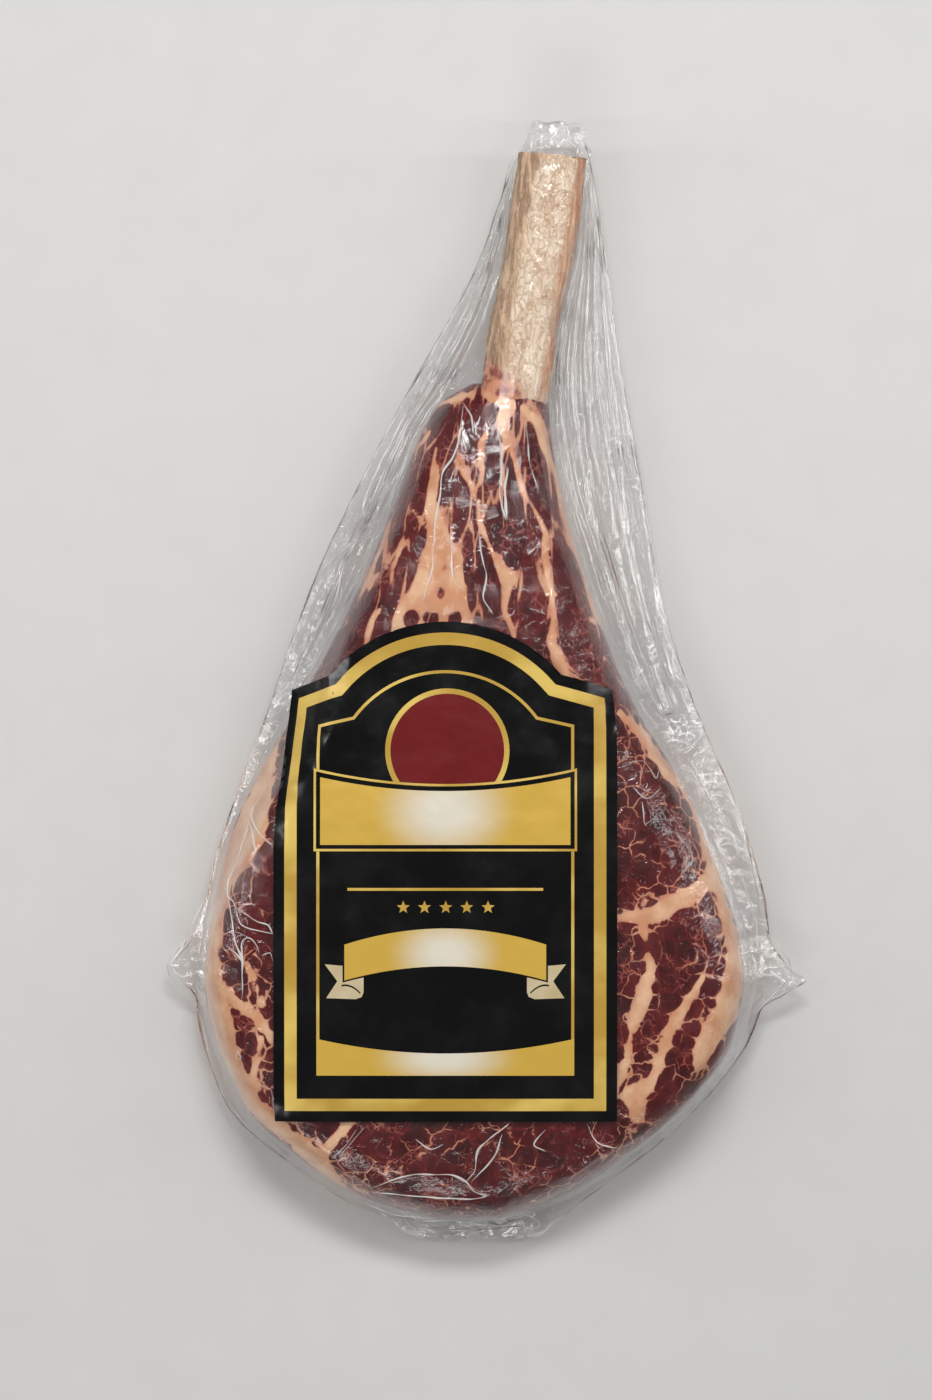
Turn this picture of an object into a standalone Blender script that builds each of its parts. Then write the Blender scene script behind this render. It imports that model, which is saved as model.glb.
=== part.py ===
"""A beef rib roast on its long bone, sealed in a clear bag with a printed label, lying on its back.

The bag is one closed solid out to the film: a thick slab of meat, the rib bone that runs out of it,
the thin web of film stretched from the bone to the slab's shoulders, two pinched corners and a loose
hem at each end. The label is a thin sheet that follows the bag's top. Sizes below are in
millimetres; the model itself is in metres, +Z up, with +Y towards the end of the bone.
"""

import itertools
import math

import bmesh
import bpy
from mathutils import Vector
from mathutils.bvhtree import BVHTree

MM = 0.001

HALF_LENGTH = 223.6         # from the middle of the bag to the hem at either end
HALF_WIDTH = 128.6          # from the middle to the tip of either pinched corner

# The film's two side edges, as (y, x), from the hem under the slab up to the tip over the bone.
FILM_LEFT = (
    (-HALF_LENGTH, -26), (-217, -42), (-204, -66), (-168, -106), (-124, -117), (-82, -111),
    (-8, -86), (40, -69), (80, -50), (118, -30), (167, -3), (196, 7), (HALF_LENGTH, 18),
)
FILM_RIGHT = (
    (-HALF_LENGTH, 20), (-217, 30), (-208, 42), (-176, 82), (-138, 109), (-100, 114),
    (-64, 106), (-4, 82), (36, 70), (84, 62), (128, 54), (192, 45), (HALF_LENGTH, 39),
)
# The side edges of what the film holds: the slab of meat up to the neck, then the bare bone.
BODY_LEFT = (
    (-217, -20), (-208, -52), (-192, -78), (-172, -98), (-120, -113), (-68, -104),
    (-8, -74), (32, -53), (72, -36), (110, -19), (124, -3), (172, 8), (210, 13),
)
BODY_RIGHT = (
    (-217, 6), (-206, 36), (-188, 65), (-168, 92), (-144, 103), (-120, 105),
    (-56, 86), (-4, 57), (32, 43), (72, 31), (112, 25), (172, 36), (210, 41),
)
# How high the slab's cut face and the bone stand, how high their undersides are, and the height
# of the film's edge between them, all as (y, z).
TOP_HEIGHT = ((-217, 40), (-150, 45), (-60, 46), (40, 44), (95, 40), (125, 35), (210, 34))
UNDERSIDE = ((92, 0), (125, 5), (210, 6))
EDGE_HEIGHT = ((-HALF_LENGTH, 5), (-190, 9), (-117, 12), (0, 15), (120, 18), (HALF_LENGTH, 20))

SLAB_ROUNDING = 18          # how far the cut face takes to curve down into the slab's side
SLAB_LOWER_ROUNDING = 11
BONE_ROUNDING = 14
ROUNDING_POWER = 2.2        # 2 is an ellipse, more is squarer
NECK = (95, 125)            # where the slab narrows into the bone
BONE_END = (207, 213)       # the sawn end, and where the film has closed over it
CROWN = 1.6                 # the cut face's slight dome
WEB_SLOPE = 0.16            # how fast the two films part, going in from their edge
# Over what height the film leaves the body for the web, as (y, height): it hugs the round of the
# slab and stands off in a tent at the shoulders.
FILLET = ((-100, 9), (-10, 24), (60, 22), (125, 10))
FILM_HALF = 0.45            # half the thickness of the film's sealed edge
FOLD_HEIGHT = 0.9           # the pleats in the web beside the bone
FOLD_REACH = (-40, 60)      # they fade out between these heights
# The pinched corners: (y, reach below, reach above).
LEFT_CORNER = (-116, 10, 24)
RIGHT_CORNER = (-120, 14, 16)

WEB_CELLS = 5
RIM_CELLS = 5               # narrow cells on the rounded side of the body
RIM_REACH = 20
FACE_CELLS = 8              # even cells over the flat face
# Stretches of the bag's length and the rows of cells in each.
ROWS = ((-HALF_LENGTH, -217, 3), (-217, -204, 6), (-204, -132, 9), (-132, -100, 8), (-100, 92, 17),
        (92, 128, 6), (128, 202, 5), (202, 214, 4), (214, HALF_LENGTH, 3))

LABEL_WIDTH = 136
LABEL_FOOT = -175           # the label's straight lower edge
LABEL_SHOULDER = 171        # its height at the two corners
LABEL_EAVES = 22            # the sloping run between a corner and the arch's foot
LABEL_EAVES_RISE = 6
LABEL_ARCH_RISE = 21
LABEL_MIDDLE = -16          # x of the label's middle
LABEL_THICK = 0.35
LABEL_STEEPEST = 0.9        # it bends down no faster than this, and so bridges the shoulder's tent
LABEL_GAP = 0.6
EAVES_CELLS, ARCH_CELLS, LABEL_ROWS = 4, 12, 22
SETTLING_PASSES = 3         # times the sheet is checked against the bag and lifted clear of it


def clear_scene():
    for thing in list(bpy.data.objects):
        bpy.data.objects.remove(thing, do_unlink=True)


def between(points, at):
    """A smooth curve through (place, value) points, level past both ends and with no overshoot."""
    if at <= points[0][0]:
        return points[0][1]
    if at >= points[-1][0]:
        return points[-1][1]
    slopes = [(b[1] - a[1]) / (b[0] - a[0]) for a, b in zip(points, points[1:])]
    bends = [slopes[0]]
    for before, after in zip(slopes, slopes[1:]):
        bends.append(0 if before * after <= 0 else 2 * before * after / (before + after))
    bends.append(slopes[-1])
    i = next(n for n in range(len(points) - 1) if at <= points[n + 1][0])
    (x0, y0), (x1, y1) = points[i], points[i + 1]
    span = x1 - x0
    t = (at - x0) / span
    rise = (y1 - y0) * t * t * (3 - 2 * t)
    return y0 + rise + span * (bends[i] * t * (1 - t) ** 2 - bends[i + 1] * t * t * (1 - t))


def ease(at, low, high):
    """0 before low, 1 after high, and smooth between."""
    t = min(1, max(0, (at - low) / (high - low)))
    return t * t * (3 - 2 * t)


def film_edge(points, corner, y):
    """The film's side edge at y, drawn out into its pinched corner."""
    middle, below, above = corner
    tip = math.copysign(HALF_WIDTH, between(points, middle))
    drawn = max(0, 1 - abs(y - middle) / (above if y > middle else below)) ** 1.5
    return between(points, y) + (tip - between(points, middle)) * drawn


def film_left(y):
    return film_edge(FILM_LEFT, LEFT_CORNER, y)


def film_right(y):
    return film_edge(FILM_RIGHT, RIGHT_CORNER, y)


def body_outline(step=3):
    """The slab and bone seen from above, as a loop of points that is open at the bone's sawn end."""
    low, high = BODY_LEFT[0][0], BODY_LEFT[-1][0]
    places = [low + n * (high - low) / round((high - low) / step)
              for n in range(round((high - low) / step) + 1)]
    left = [(between(BODY_LEFT, y), y) for y in reversed(places)]
    return left + [(between(BODY_RIGHT, y), y) for y in places]


OUTLINE = body_outline()


def depth_inside(x, y):
    """How far a point lies inside the slab or bone, seen from above; negative outside it."""
    nearest = math.inf
    for (ax, ay), (bx, by) in zip(OUTLINE, OUTLINE[1:]):
        run = ((x - ax) * (bx - ax) + (y - ay) * (by - ay)) / ((bx - ax) ** 2 + (by - ay) ** 2)
        run = min(1, max(0, run))
        nearest = min(nearest, math.hypot(ax + run * (bx - ax) - x, ay + run * (by - ay) - y))
    low = BODY_LEFT[0][0]
    inside = y > low and between(BODY_LEFT, y) < x < between(BODY_RIGHT, y)
    return nearest if inside else -nearest


def rounded(depth, reach):
    """0 at the side of the body, rising to 1 where its face turns flat."""
    q = min(1, max(0, depth / reach))
    return (1 - (1 - q) ** ROUNDING_POWER) ** (1 / ROUNDING_POWER)


def soft_max(a, b, blend):
    """The larger of two, with a fillet where they are nearly the same."""
    h = max(0, blend - abs(a - b))
    return max(a, b) + h * h / (4 * blend)


def pleat(across, y):
    """The web's pleats: they run along the bag, and every second column of the web stands up."""
    column = across * WEB_CELLS
    wave = math.cos(math.pi * column)
    fade = ease(y, *FOLD_REACH) * (1 - ease(y, 196, 210))
    return FOLD_HEIGHT * wave * math.sin(math.pi * across) * fade


def heights(x, y, web_across):
    """The film's upper and lower height at a point. web_across is 0 to 1 over a web, else None."""
    depth = depth_inside(x, y)
    bone = ease(y, *NECK)
    open_end = 1 - ease(y, *BONE_END)
    edge = between(EDGE_HEIGHT, y)
    out = max(0, min(x - film_left(y), film_right(y) - x, y - FILM_LEFT[0][0] + 1))
    parted = FILM_HALF + WEB_SLOPE * out
    reach_up = SLAB_ROUNDING + bone * (BONE_ROUNDING - SLAB_ROUNDING)
    reach_down = SLAB_LOWER_ROUNDING + bone * (BONE_ROUNDING - SLAB_LOWER_ROUNDING)
    face = between(TOP_HEIGHT, y) + CROWN * ease(depth, 0, 60)
    up = edge + (face - edge) * rounded(depth, reach_up) * open_end
    down = edge + (between(UNDERSIDE, y) - edge) * rounded(depth, reach_down) * open_end
    fillet = between(FILLET, y)
    tented = min(1, out / fillet) * ease(depth, -fillet, 0)
    top, low = edge + parted, edge - parted
    top += (soft_max(top, up, fillet) - top) * tented
    low -= (low + soft_max(-low, -down, FILLET[0][1])) * tented
    if web_across is not None:
        top += pleat(web_across, y)
        low += pleat(web_across, y)
    return top, max(0, low)


def column_places(y):
    """(x, how far across the web or None) for every column of cells at y, left to right."""
    left, right = film_left(y), film_right(y)
    body_left = max(between(BODY_LEFT, y), left + 2)
    body_right = min(between(BODY_RIGHT, y), right - 2)
    if body_right < body_left + 12:
        middle = (left + right) / 2
        body_left, body_right = middle - 8, middle + 8
    rim = min(RIM_REACH, 0.35 * (body_right - body_left))
    rims = [rim * (n / RIM_CELLS) ** 2 for n in range(RIM_CELLS)]
    face = body_right - body_left - 2 * rim
    webs = [n / WEB_CELLS for n in range(WEB_CELLS)]
    return (
        [(left + (body_left - left) * across, across) for across in webs]
        + [(body_left + inside, None) for inside in rims]
        + [(body_left + rim + face * n / FACE_CELLS, None) for n in range(FACE_CELLS + 1)]
        + [(body_right - inside, None) for inside in reversed(rims)]
        + [(right + (body_right - right) * across, across) for across in reversed(webs)]
    )


def row_places():
    rows = [ROWS[0][0]]
    for low, high, count in ROWS:
        rows += [low + (high - low) * (n + 1) / count for n in range(count)]
    return rows


def skin(bm, rows_up, rows_down):
    """Closes two sheets of points that share one outline: both sheets and the wall between them."""
    def sheet(rows, turned):
        for near, far in zip(rows, rows[1:]):
            for n in range(len(near) - 1):
                corners = (near[n], near[n + 1], far[n + 1], far[n])
                bm.faces.new(reversed(corners) if turned else corners)

    def rim(rows):
        side = [row[-1] for row in rows[1:-1]]
        return list(rows[0]) + side + list(reversed(rows[-1])) + [row[0] for row in rows[-2:0:-1]]

    sheet(rows_up, False)
    sheet(rows_down, True)
    upper, lower = rim(rows_up), rim(rows_down)
    for n in range(len(upper)):
        m = (n + 1) % len(upper)
        bm.faces.new((lower[n], lower[m], upper[m], upper[n]))


def finish(name, bm, material):
    bmesh.ops.triangulate(bm, faces=bm.faces)
    mesh = bpy.data.meshes.new(name)
    bm.to_mesh(mesh)
    bm.free()
    mesh.shade_smooth()
    mesh.set_sharp_from_angle(angle=math.radians(40))
    mesh.materials.append(material)
    thing = bpy.data.objects.new(name, mesh)
    bpy.context.scene.collection.objects.link(thing)
    return thing


def paint(name, colour, roughness, alpha=1.0):
    material = bpy.data.materials.new(name)
    material.use_nodes = True
    shader = material.node_tree.nodes["Principled BSDF"]
    shader.inputs["Base Color"].default_value = (*colour, 1)
    shader.inputs["Roughness"].default_value = roughness
    shader.inputs["Metallic"].default_value = 0
    shader.inputs["Alpha"].default_value = alpha
    return material


def build_bag():
    bm = bmesh.new()
    upper, lower = [], []
    for y in row_places():
        up, down = [], []
        for x, across in column_places(y):
            top, low = heights(x, y, across)
            up.append(bm.verts.new(Vector((x, y, top)) * MM))
            down.append(bm.verts.new(Vector((x, y, low)) * MM))
        upper.append(up)
        lower.append(down)
    skin(bm, upper, lower)
    return finish("bag", bm, paint("sealed_meat", (0.24, 0.03, 0.03), 0.2))


def label_top(across):
    """The label's height at a place across it: straight eaves, then the arch."""
    half = LABEL_WIDTH / 2
    arch_half = half - LABEL_EAVES
    if abs(across) >= arch_half:
        return LABEL_SHOULDER + LABEL_EAVES_RISE * (half - abs(across)) / LABEL_EAVES
    radius = (arch_half ** 2 + LABEL_ARCH_RISE ** 2) / (2 * LABEL_ARCH_RISE)
    lift = math.sqrt(radius ** 2 - across ** 2) - (radius - LABEL_ARCH_RISE)
    return LABEL_SHOULDER + LABEL_EAVES_RISE + lift


def label_columns():
    """Places across the label: every corner of its outline falls on one of them."""
    half, arch = LABEL_WIDTH / 2, LABEL_WIDTH / 2 - LABEL_EAVES
    eaves = [arch + LABEL_EAVES * n / EAVES_CELLS for n in range(1, EAVES_CELLS + 1)]
    middle = [arch * (2 * n / ARCH_CELLS - 1) for n in range(ARCH_CELLS + 1)]
    return [-place for place in reversed(eaves)] + middle + eaves


def build_label(bag):
    """A sheet laid on the bag: each row is unrolled from the middle outwards along the surface."""
    surface = BVHTree.FromObject(bag, bpy.context.evaluated_depsgraph_get())

    def ground(x, y):
        hit = surface.ray_cast(Vector((x, y, 100)) * MM, Vector((0, 0, -1)))[0]
        return hit.z / MM

    def walked(distance, y):
        x, side = LABEL_MIDDLE, math.copysign(1, distance)
        left, z = abs(distance), ground(LABEL_MIDDLE, y)
        while left > 0.01:
            step = min(1, left)
            fall = max(ground(x + side * step, y) - z, -LABEL_STEEPEST * step) / step
            forward = step / math.hypot(1, fall)
            x += side * forward
            z += fall * forward
            left -= step
        return Vector((x, y, max(z, ground(x, y)) + LABEL_GAP))

    feet = []
    for r in range(LABEL_ROWS + 1):
        feet.append([
            walked(across, LABEL_FOOT + label_top(across) * r / LABEL_ROWS)
            for across in label_columns()
        ])
    for _ in range(SETTLING_PASSES):
        for near, far in zip(feet, feet[1:]):
            for a, b, c, d in zip(near, near[1:], far[1:], far):
                short = 0
                for u, v in itertools.product((0, 0.25, 0.5, 0.75, 1), repeat=2):
                    place = a.lerp(b, u).lerp(d.lerp(c, u), v)
                    short = max(short, ground(place.x, place.y) + LABEL_GAP - place.z)
                for corner in (a, b, c, d):
                    corner.z += short

    bm = bmesh.new()
    upper, lower = [], []
    for row in feet:
        lower.append([bm.verts.new(foot * MM) for foot in row])
        upper.append([bm.verts.new((foot + Vector((0, 0, LABEL_THICK))) * MM) for foot in row])
    skin(bm, upper, lower)
    return finish("label", bm, paint("label_print", (0.012, 0.011, 0.01), 0.25))


def main():
    clear_scene()
    bag = build_bag()
    bpy.context.view_layer.update()
    build_label(bag)


main()
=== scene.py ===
# %% [markdown]
# # A packed beef rib roast
#
# This notebook dresses a plain solid, a bag and a label, as a real pack from a butcher's counter:
# a thick slab of marbled beef on its long bare rib bone, shrunk into clear film, with a big arched
# label on the front. The pack can't stand up by itself, so it lies on its back and we look down.
#
# The solid is loaded first and never changed. Everything below is measured from it.

# %% Load the solid pack
import math
import bpy
import numpy as np
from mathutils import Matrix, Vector, noise
from mathutils.bvhtree import BVHTree


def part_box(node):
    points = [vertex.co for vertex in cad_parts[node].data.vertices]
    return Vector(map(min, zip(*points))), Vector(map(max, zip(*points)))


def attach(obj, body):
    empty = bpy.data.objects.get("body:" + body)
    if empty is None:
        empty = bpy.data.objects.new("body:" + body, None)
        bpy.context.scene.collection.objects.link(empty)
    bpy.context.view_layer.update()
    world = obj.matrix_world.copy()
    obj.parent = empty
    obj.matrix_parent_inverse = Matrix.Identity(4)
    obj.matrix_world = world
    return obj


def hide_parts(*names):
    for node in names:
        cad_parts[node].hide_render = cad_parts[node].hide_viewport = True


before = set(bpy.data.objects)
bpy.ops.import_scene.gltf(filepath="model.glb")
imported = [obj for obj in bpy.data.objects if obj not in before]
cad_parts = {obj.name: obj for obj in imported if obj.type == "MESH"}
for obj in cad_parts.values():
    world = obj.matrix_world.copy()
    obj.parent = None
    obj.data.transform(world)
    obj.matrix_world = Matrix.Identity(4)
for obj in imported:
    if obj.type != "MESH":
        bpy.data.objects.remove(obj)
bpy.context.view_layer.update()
MM = 0.001
BAG_LOW, BAG_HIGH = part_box("bag")

# %% [markdown]
# ## Camera, light and floor
#
# The pack was standing up when it was looked at, square on, so here the camera hangs straight
# above it. A long lens keeps the far end of the bone from shrinking. The film shows only by what
# it reflects, so the lamps are long soft boxes on either side: each fold turns one thin line of
# itself towards a box and lights up, while the flat label looks past them at a dim sky.

# %% Hang the camera above the pack
def deselect():
    if bpy.context.mode != "OBJECT":
        bpy.ops.object.mode_set(mode="OBJECT")
    bpy.ops.object.select_all(action="DESELECT")


deselect()
VIEW_HEIGHT = 0.560                 # how much of the floor the picture's long side covers
VIEW_MIDDLE = (-0.0078, -0.0080)    # the place on the floor straight below the camera
LENS, SENSOR = 135, 36
camera_height = LENS / SENSOR * VIEW_HEIGHT + (BAG_HIGH.z - BAG_LOW.z) / 2
bpy.ops.object.camera_add(location=(*VIEW_MIDDLE, camera_height), rotation=(0, 0, 0))
camera = bpy.context.object
camera.name = "camera"
camera.data.lens = LENS
camera.data.sensor_fit = "VERTICAL"
camera.data.sensor_height = SENSOR
camera.data.clip_end = 20
bpy.context.scene.camera = camera
bpy.context.scene.view_settings.view_transform = "Standard"
print("The camera hangs", round(camera_height, 3), "m up")


# %% Place the soft boxes
LAMP_AIM = Vector((0, 0, 0.02))     # the middle of the pack
ROOM_LIGHT = 0.18


def soft_box(name, place, size, power):
    turn = (LAMP_AIM - Vector(place)).to_track_quat("-Z", "Y").to_euler()
    bpy.ops.object.light_add(type="AREA", location=place, rotation=turn)
    lamp = bpy.context.object
    lamp.name = name
    lamp.data.shape = "RECTANGLE"
    lamp.data.size, lamp.data.size_y = size
    lamp.data.energy = power


soft_box("left_box", (-0.95, 0.10, 0.70), (0.09, 1.3), 4)
soft_box("right_box", (0.95, 0.15, 0.70), (0.09, 1.3), 4)
soft_box("far_box", (0.06, 0.72, 1.20), (0.60, 0.20), 11)
soft_box("near_box", (-0.2, -1.1, 0.9), (0.9, 0.25), 4)

world = bpy.data.worlds.new("room")
bpy.context.scene.world = world
world.use_nodes = True
sky = world.node_tree.nodes["Background"]
sky.inputs["Color"].default_value = (1, 1, 1, 1)
sky.inputs["Strength"].default_value = ROOM_LIGHT
print("Four soft boxes and a dim room")


# %% [markdown]
# ## A small kit for materials
#
# Every finish below is one Principled shader with a few textures plugged in. These helpers only
# save typing: one makes the material, one adds a node with its settings, one joins sockets, and
# one turns an everyday colour, as a paint program gives it, into the linear one Blender wants.

# %% Helpers for materials
def linear(red, green, blue):
    def one(value):
        value /= 255
        return value / 12.92 if value <= 0.04045 else ((value + 0.055) / 1.055) ** 2.4
    return (one(red), one(green), one(blue), 1)


class Finish:
    """A material being wired: its nodes, its links and its shader."""

    def __init__(self, name, **sockets):
        self.material = bpy.data.materials.new(name)
        self.material.use_nodes = True
        self.nodes = self.material.node_tree.nodes
        self.shader = self.nodes["Principled BSDF"]
        self.set(self.shader, sockets)

    def set(self, node, sockets):
        for socket, value in sockets.items():
            node.inputs[socket.replace("_", " ")].default_value = value

    def add(self, kind, settings=None, **sockets):
        node = self.nodes.new("ShaderNode" + kind)
        for setting, value in (settings or {}).items():
            setattr(node, setting, value)
        self.set(node, sockets)
        return node

    def join(self, output, target):
        self.material.node_tree.links.new(output, target)

    def feed(self, socket, value):
        """Gives a socket a number, a colour or what another node puts out."""
        if isinstance(value, (int, float, tuple)):
            socket.default_value = value
        else:
            self.join(value, socket)

    def paint(self, output, socket="Base Color"):
        self.join(output, self.shader.inputs[socket])

    def coords(self, scale=(1, 1, 1), uv=None):
        """Places on the piece, in metres times the scale."""
        place = self.add("UVMap", {"uv_map": uv}) if uv else self.add("TexCoord")
        mapping = self.add("Mapping", Scale=scale)
        self.join(place.outputs["UV" if uv else "Object"], mapping.inputs["Vector"])
        return mapping.outputs[0]

    def noise(self, scale, detail=3.0, rough=0.5, coords=None, distortion=0.0):
        node = self.add("TexNoise", None, Scale=scale, Detail=detail, Roughness=rough,
                        Distortion=distortion)
        self.join(coords or self.coords(), node.inputs["Vector"])
        return node.outputs[0]

    def math(self, operation, a, b=None, c=None, clamp=False):
        node = self.add("Math", {"operation": operation, "use_clamp": clamp})
        for socket, value in zip(node.inputs, (a, b, c)):
            if value is not None:
                self.feed(socket, value)
        return node.outputs[0]

    def ramp(self, value, low, high, out_low=0.0, out_high=1.0):
        """Eases from out_low to out_high while the value goes from low to high."""
        node = self.add("MapRange", {"interpolation_type": "SMOOTHSTEP"}, From_Min=low,
                        From_Max=high, To_Min=out_low, To_Max=out_high)
        self.join(value, node.inputs["Value"])
        return node.outputs["Result"]

    def mix(self, share, a, b):
        """Colour a where the share is 0 and colour b where it is 1."""
        node = self.add("Mix", {"data_type": "RGBA", "clamp_factor": True})
        for socket, value in zip((0, 6, 7), (share, a, b)):
            self.feed(node.inputs[socket], value)
        return node.outputs[2]

    def mix_shaders(self, share, a, b):
        node = self.add("MixShader")
        for socket, value in zip(node.inputs, (share, a, b)):
            self.feed(socket, value)
        return node.outputs[0]

    def show(self, surface):
        """Shows a mix of shaders in place of the Principled shader alone."""
        self.join(surface, self.nodes["Material Output"].inputs["Surface"])

    def bump(self, height, strength, distance, target=None):
        node = self.add("Bump", None, Strength=strength, Distance=distance)
        self.join(height, node.inputs["Height"])
        self.join(node.outputs[0], (target or self.shader).inputs["Normal"])


def dress(piece, finish):
    piece.data.materials.clear()
    piece.data.materials.append(finish.material)


# %% [markdown]
# ## The floor
#
# A plain pale sheet of card, big enough that its edge is never seen. It has a trace of tooth so
# that it isn't a flat colour.

# %% Lay the floor
bpy.ops.mesh.primitive_plane_add(size=6, location=(0, 0, -0.0002))
floor = bpy.context.object
floor.name = "floor"
card = Finish("pale_card", Roughness=0.75)
card.paint(card.mix(card.noise(40, 4), linear(206, 205, 203), linear(212, 211, 209)))
card.bump(card.noise(900, 2), 0.08, 0.0005)
dress(floor, card)
print("Floor laid")

# %% [markdown]
# ## Measuring the meat
#
# The slab and its bone are described from above by two side edges, as a tailor would mark a
# pattern: at each height along the pack, how far out the left and the right edge are. A smooth
# curve runs through the marks. All marks are in millimetres from the middle of the pack.

# %% Curves through marks
def curve(marks, at):
    """A smooth curve through (place, value) marks with no overshoot, level past both ends."""
    places, values = np.array(marks, float).T
    at = np.clip(np.asarray(at, float), places[0], places[-1])
    slopes = np.diff(values) / np.diff(places)
    product = slopes[:-1] * slopes[1:]
    total = np.where(np.abs(slopes[:-1] + slopes[1:]) < 1e-9, 1, slopes[:-1] + slopes[1:])
    bends = np.concatenate([slopes[:1], np.where(product > 0, 2 * product / total, 0), slopes[-1:]])
    i = np.clip(np.searchsorted(places, at) - 1, 0, len(slopes) - 1)
    span = places[i + 1] - places[i]
    t = (at - places[i]) / span
    rise = (values[i + 1] - values[i]) * t * t * (3 - 2 * t)
    return values[i] + rise + span * (bends[i] * t * (1 - t) ** 2 - bends[i + 1] * t * t * (1 - t))


def ease(at, low, high):
    t = np.clip((np.asarray(at, float) - low) / (high - low), 0, 1)
    return t * t * (3 - 2 * t)


SLAB_LEFT = ((-217, -20), (-208, -50), (-192, -75), (-172, -96), (-120, -113), (-68, -104),
             (-8, -74), (32, -53), (72, -36), (100, -25), (112, -17), (119, -5))
SLAB_RIGHT = ((-217, 6), (-206, 34), (-188, 61), (-168, 84), (-146, 99), (-120, 104),
              (-56, 86), (-4, 57), (32, 43), (72, 31), (100, 26), (112, 25), (119, 19))
FACE_HEIGHT = ((-217, 40), (-150, 45), (-60, 46), (40, 44), (95, 40), (119, 35))
EDGE_HEIGHT = ((-223, 5), (-190, 9), (-117, 12), (0, 15), (120, 18), (223, 20))


OUTLINE_ROWS = 113                  # one every 3 millimetres


def outline(left, right):
    places = np.linspace(left[0][0], left[-1][0], OUTLINE_ROWS)
    return np.concatenate([
        np.stack([curve(left, places[::-1]), places[::-1]], 1),
        np.stack([curve(right, places), places], 1),
    ])


def distance_to(points, chain, closed=False):
    """How far each point is from a chain of straight lines."""
    if closed:
        chain = np.concatenate([chain, chain[:1]])
    nearest = np.full(len(points), np.inf)
    for a, b in zip(chain[:-1], chain[1:]):
        run = b - a
        along = np.clip(((points - a) @ run) / max(run @ run, 1e-9), 0, 1)
        nearest = np.minimum(nearest, np.hypot(*(points - a - along[:, None] * run).T))
    return nearest


slab_outline = outline(SLAB_LEFT, SLAB_RIGHT)
print("The slab's outline has", len(slab_outline), "points")

# %% Read the surfaces of the solid bag and label
def surface_of(mesh):
    mesh.calc_loop_triangles()
    points = [v.co / MM for v in mesh.vertices]
    return BVHTree.FromPolygons(points, [tuple(t.vertices) for t in mesh.loop_triangles])


def cast(surface, points, down=True):
    """The height of a surface over or under each point, or nan where there is none."""
    start, way = (200, Vector((0, 0, -1))) if down else (-200, Vector((0, 0, 1)))
    hits = [surface.ray_cast(Vector((x, y, start)), way)[0] for x, y in points]
    return np.array([hit.z if hit else np.nan for hit in hits])


bag_surface = surface_of(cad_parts["bag"].data)
label_surface = surface_of(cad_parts["label"].data)
print("Both surfaces are ready to be measured")


# %% [markdown]
# ## A sheet with two sides
#
# The slab and the film both start as a grid that is extruded once, which gives a thin closed
# block: an upper sheet, a lower sheet and the wall between them. The block is then stretched like
# dough, every grid line kept, so its points can be moved a whole sheet at a time.

# %% Start a closed block from a grid
def edit_all():
    bpy.ops.object.mode_set(mode="EDIT")
    bpy.ops.mesh.select_all(action="SELECT")


def points_of(piece):
    places = np.empty(len(piece.data.vertices) * 3, np.float32)
    piece.data.vertices.foreach_get("co", places)
    return places.reshape(-1, 3).astype(float)


def closed_block(name, columns, rows):
    """The block, and for each point its column, its row and whether it is on the upper sheet."""
    deselect()
    bpy.ops.mesh.primitive_grid_add(x_subdivisions=columns, y_subdivisions=rows, size=2,
                                    location=(0, 0, 0))
    block = bpy.context.object
    block.name = block.data.name = name
    edit_all()
    bpy.ops.mesh.extrude_region_move(TRANSFORM_OT_translate={"value": (0, 0, 1)})
    bpy.ops.mesh.select_all(action="SELECT")
    bpy.ops.mesh.normals_make_consistent(inside=False)
    bpy.ops.object.mode_set(mode="OBJECT")
    places = points_of(block)
    column = np.round((places[:, 0] + 1) / 2 * columns).astype(int)
    row = np.round((places[:, 1] + 1) / 2 * rows).astype(int)
    return block, column, row, places[:, 2] > 0.5


def move_points(piece, places):
    """Puts every point of the piece at its new place, given in millimetres."""
    piece.data.vertices.foreach_set("co", (np.asarray(places) * MM).astype(np.float32).ravel())
    piece.data.update()


def store(piece, name, values):
    layer = piece.data.attributes.new(name, "FLOAT", "POINT")
    layer.data.foreach_set("value", np.asarray(values, np.float32))


def store_uv(piece, name, places):
    """Gives every corner of every face the flat place of its point."""
    corners = np.empty(len(piece.data.loops), np.int32)
    piece.data.loops.foreach_get("vertex_index", corners)
    layer = piece.data.uv_layers.new(name=name)
    layer.data.foreach_set("uv", places[corners].astype(np.float32).ravel())


def lumps(points, size, seed=0.0, octaves=1):
    """Smooth random heights from about -1 to 1, one for each point, with lumps of that size."""
    out = np.empty(len(points))
    for i, (x, y, *rest) in enumerate(points):
        z = rest[0] if rest else 0.0
        place = Vector((x / size + seed, y / size - seed, z / size + seed * 0.7))
        out[i] = noise.noise(place) if octaves == 1 else noise.fractal(place, 0.6, 2.0, octaves)
    return out


# %% [markdown]
# ## Where the fat runs
#
# Beef is lean muscle parted by fat. The thick seams are what the eye reads first, so each is
# drawn as a brush stroke: a few marks along its middle, with half its width at each mark. For
# every point of the slab we then store how far it lies outside the nearest stroke. The finish
# turns that one number into a ragged, soft-edged seam, and the mesh itself rises a little there,
# because cold fat stands proud of the lean.

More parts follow.
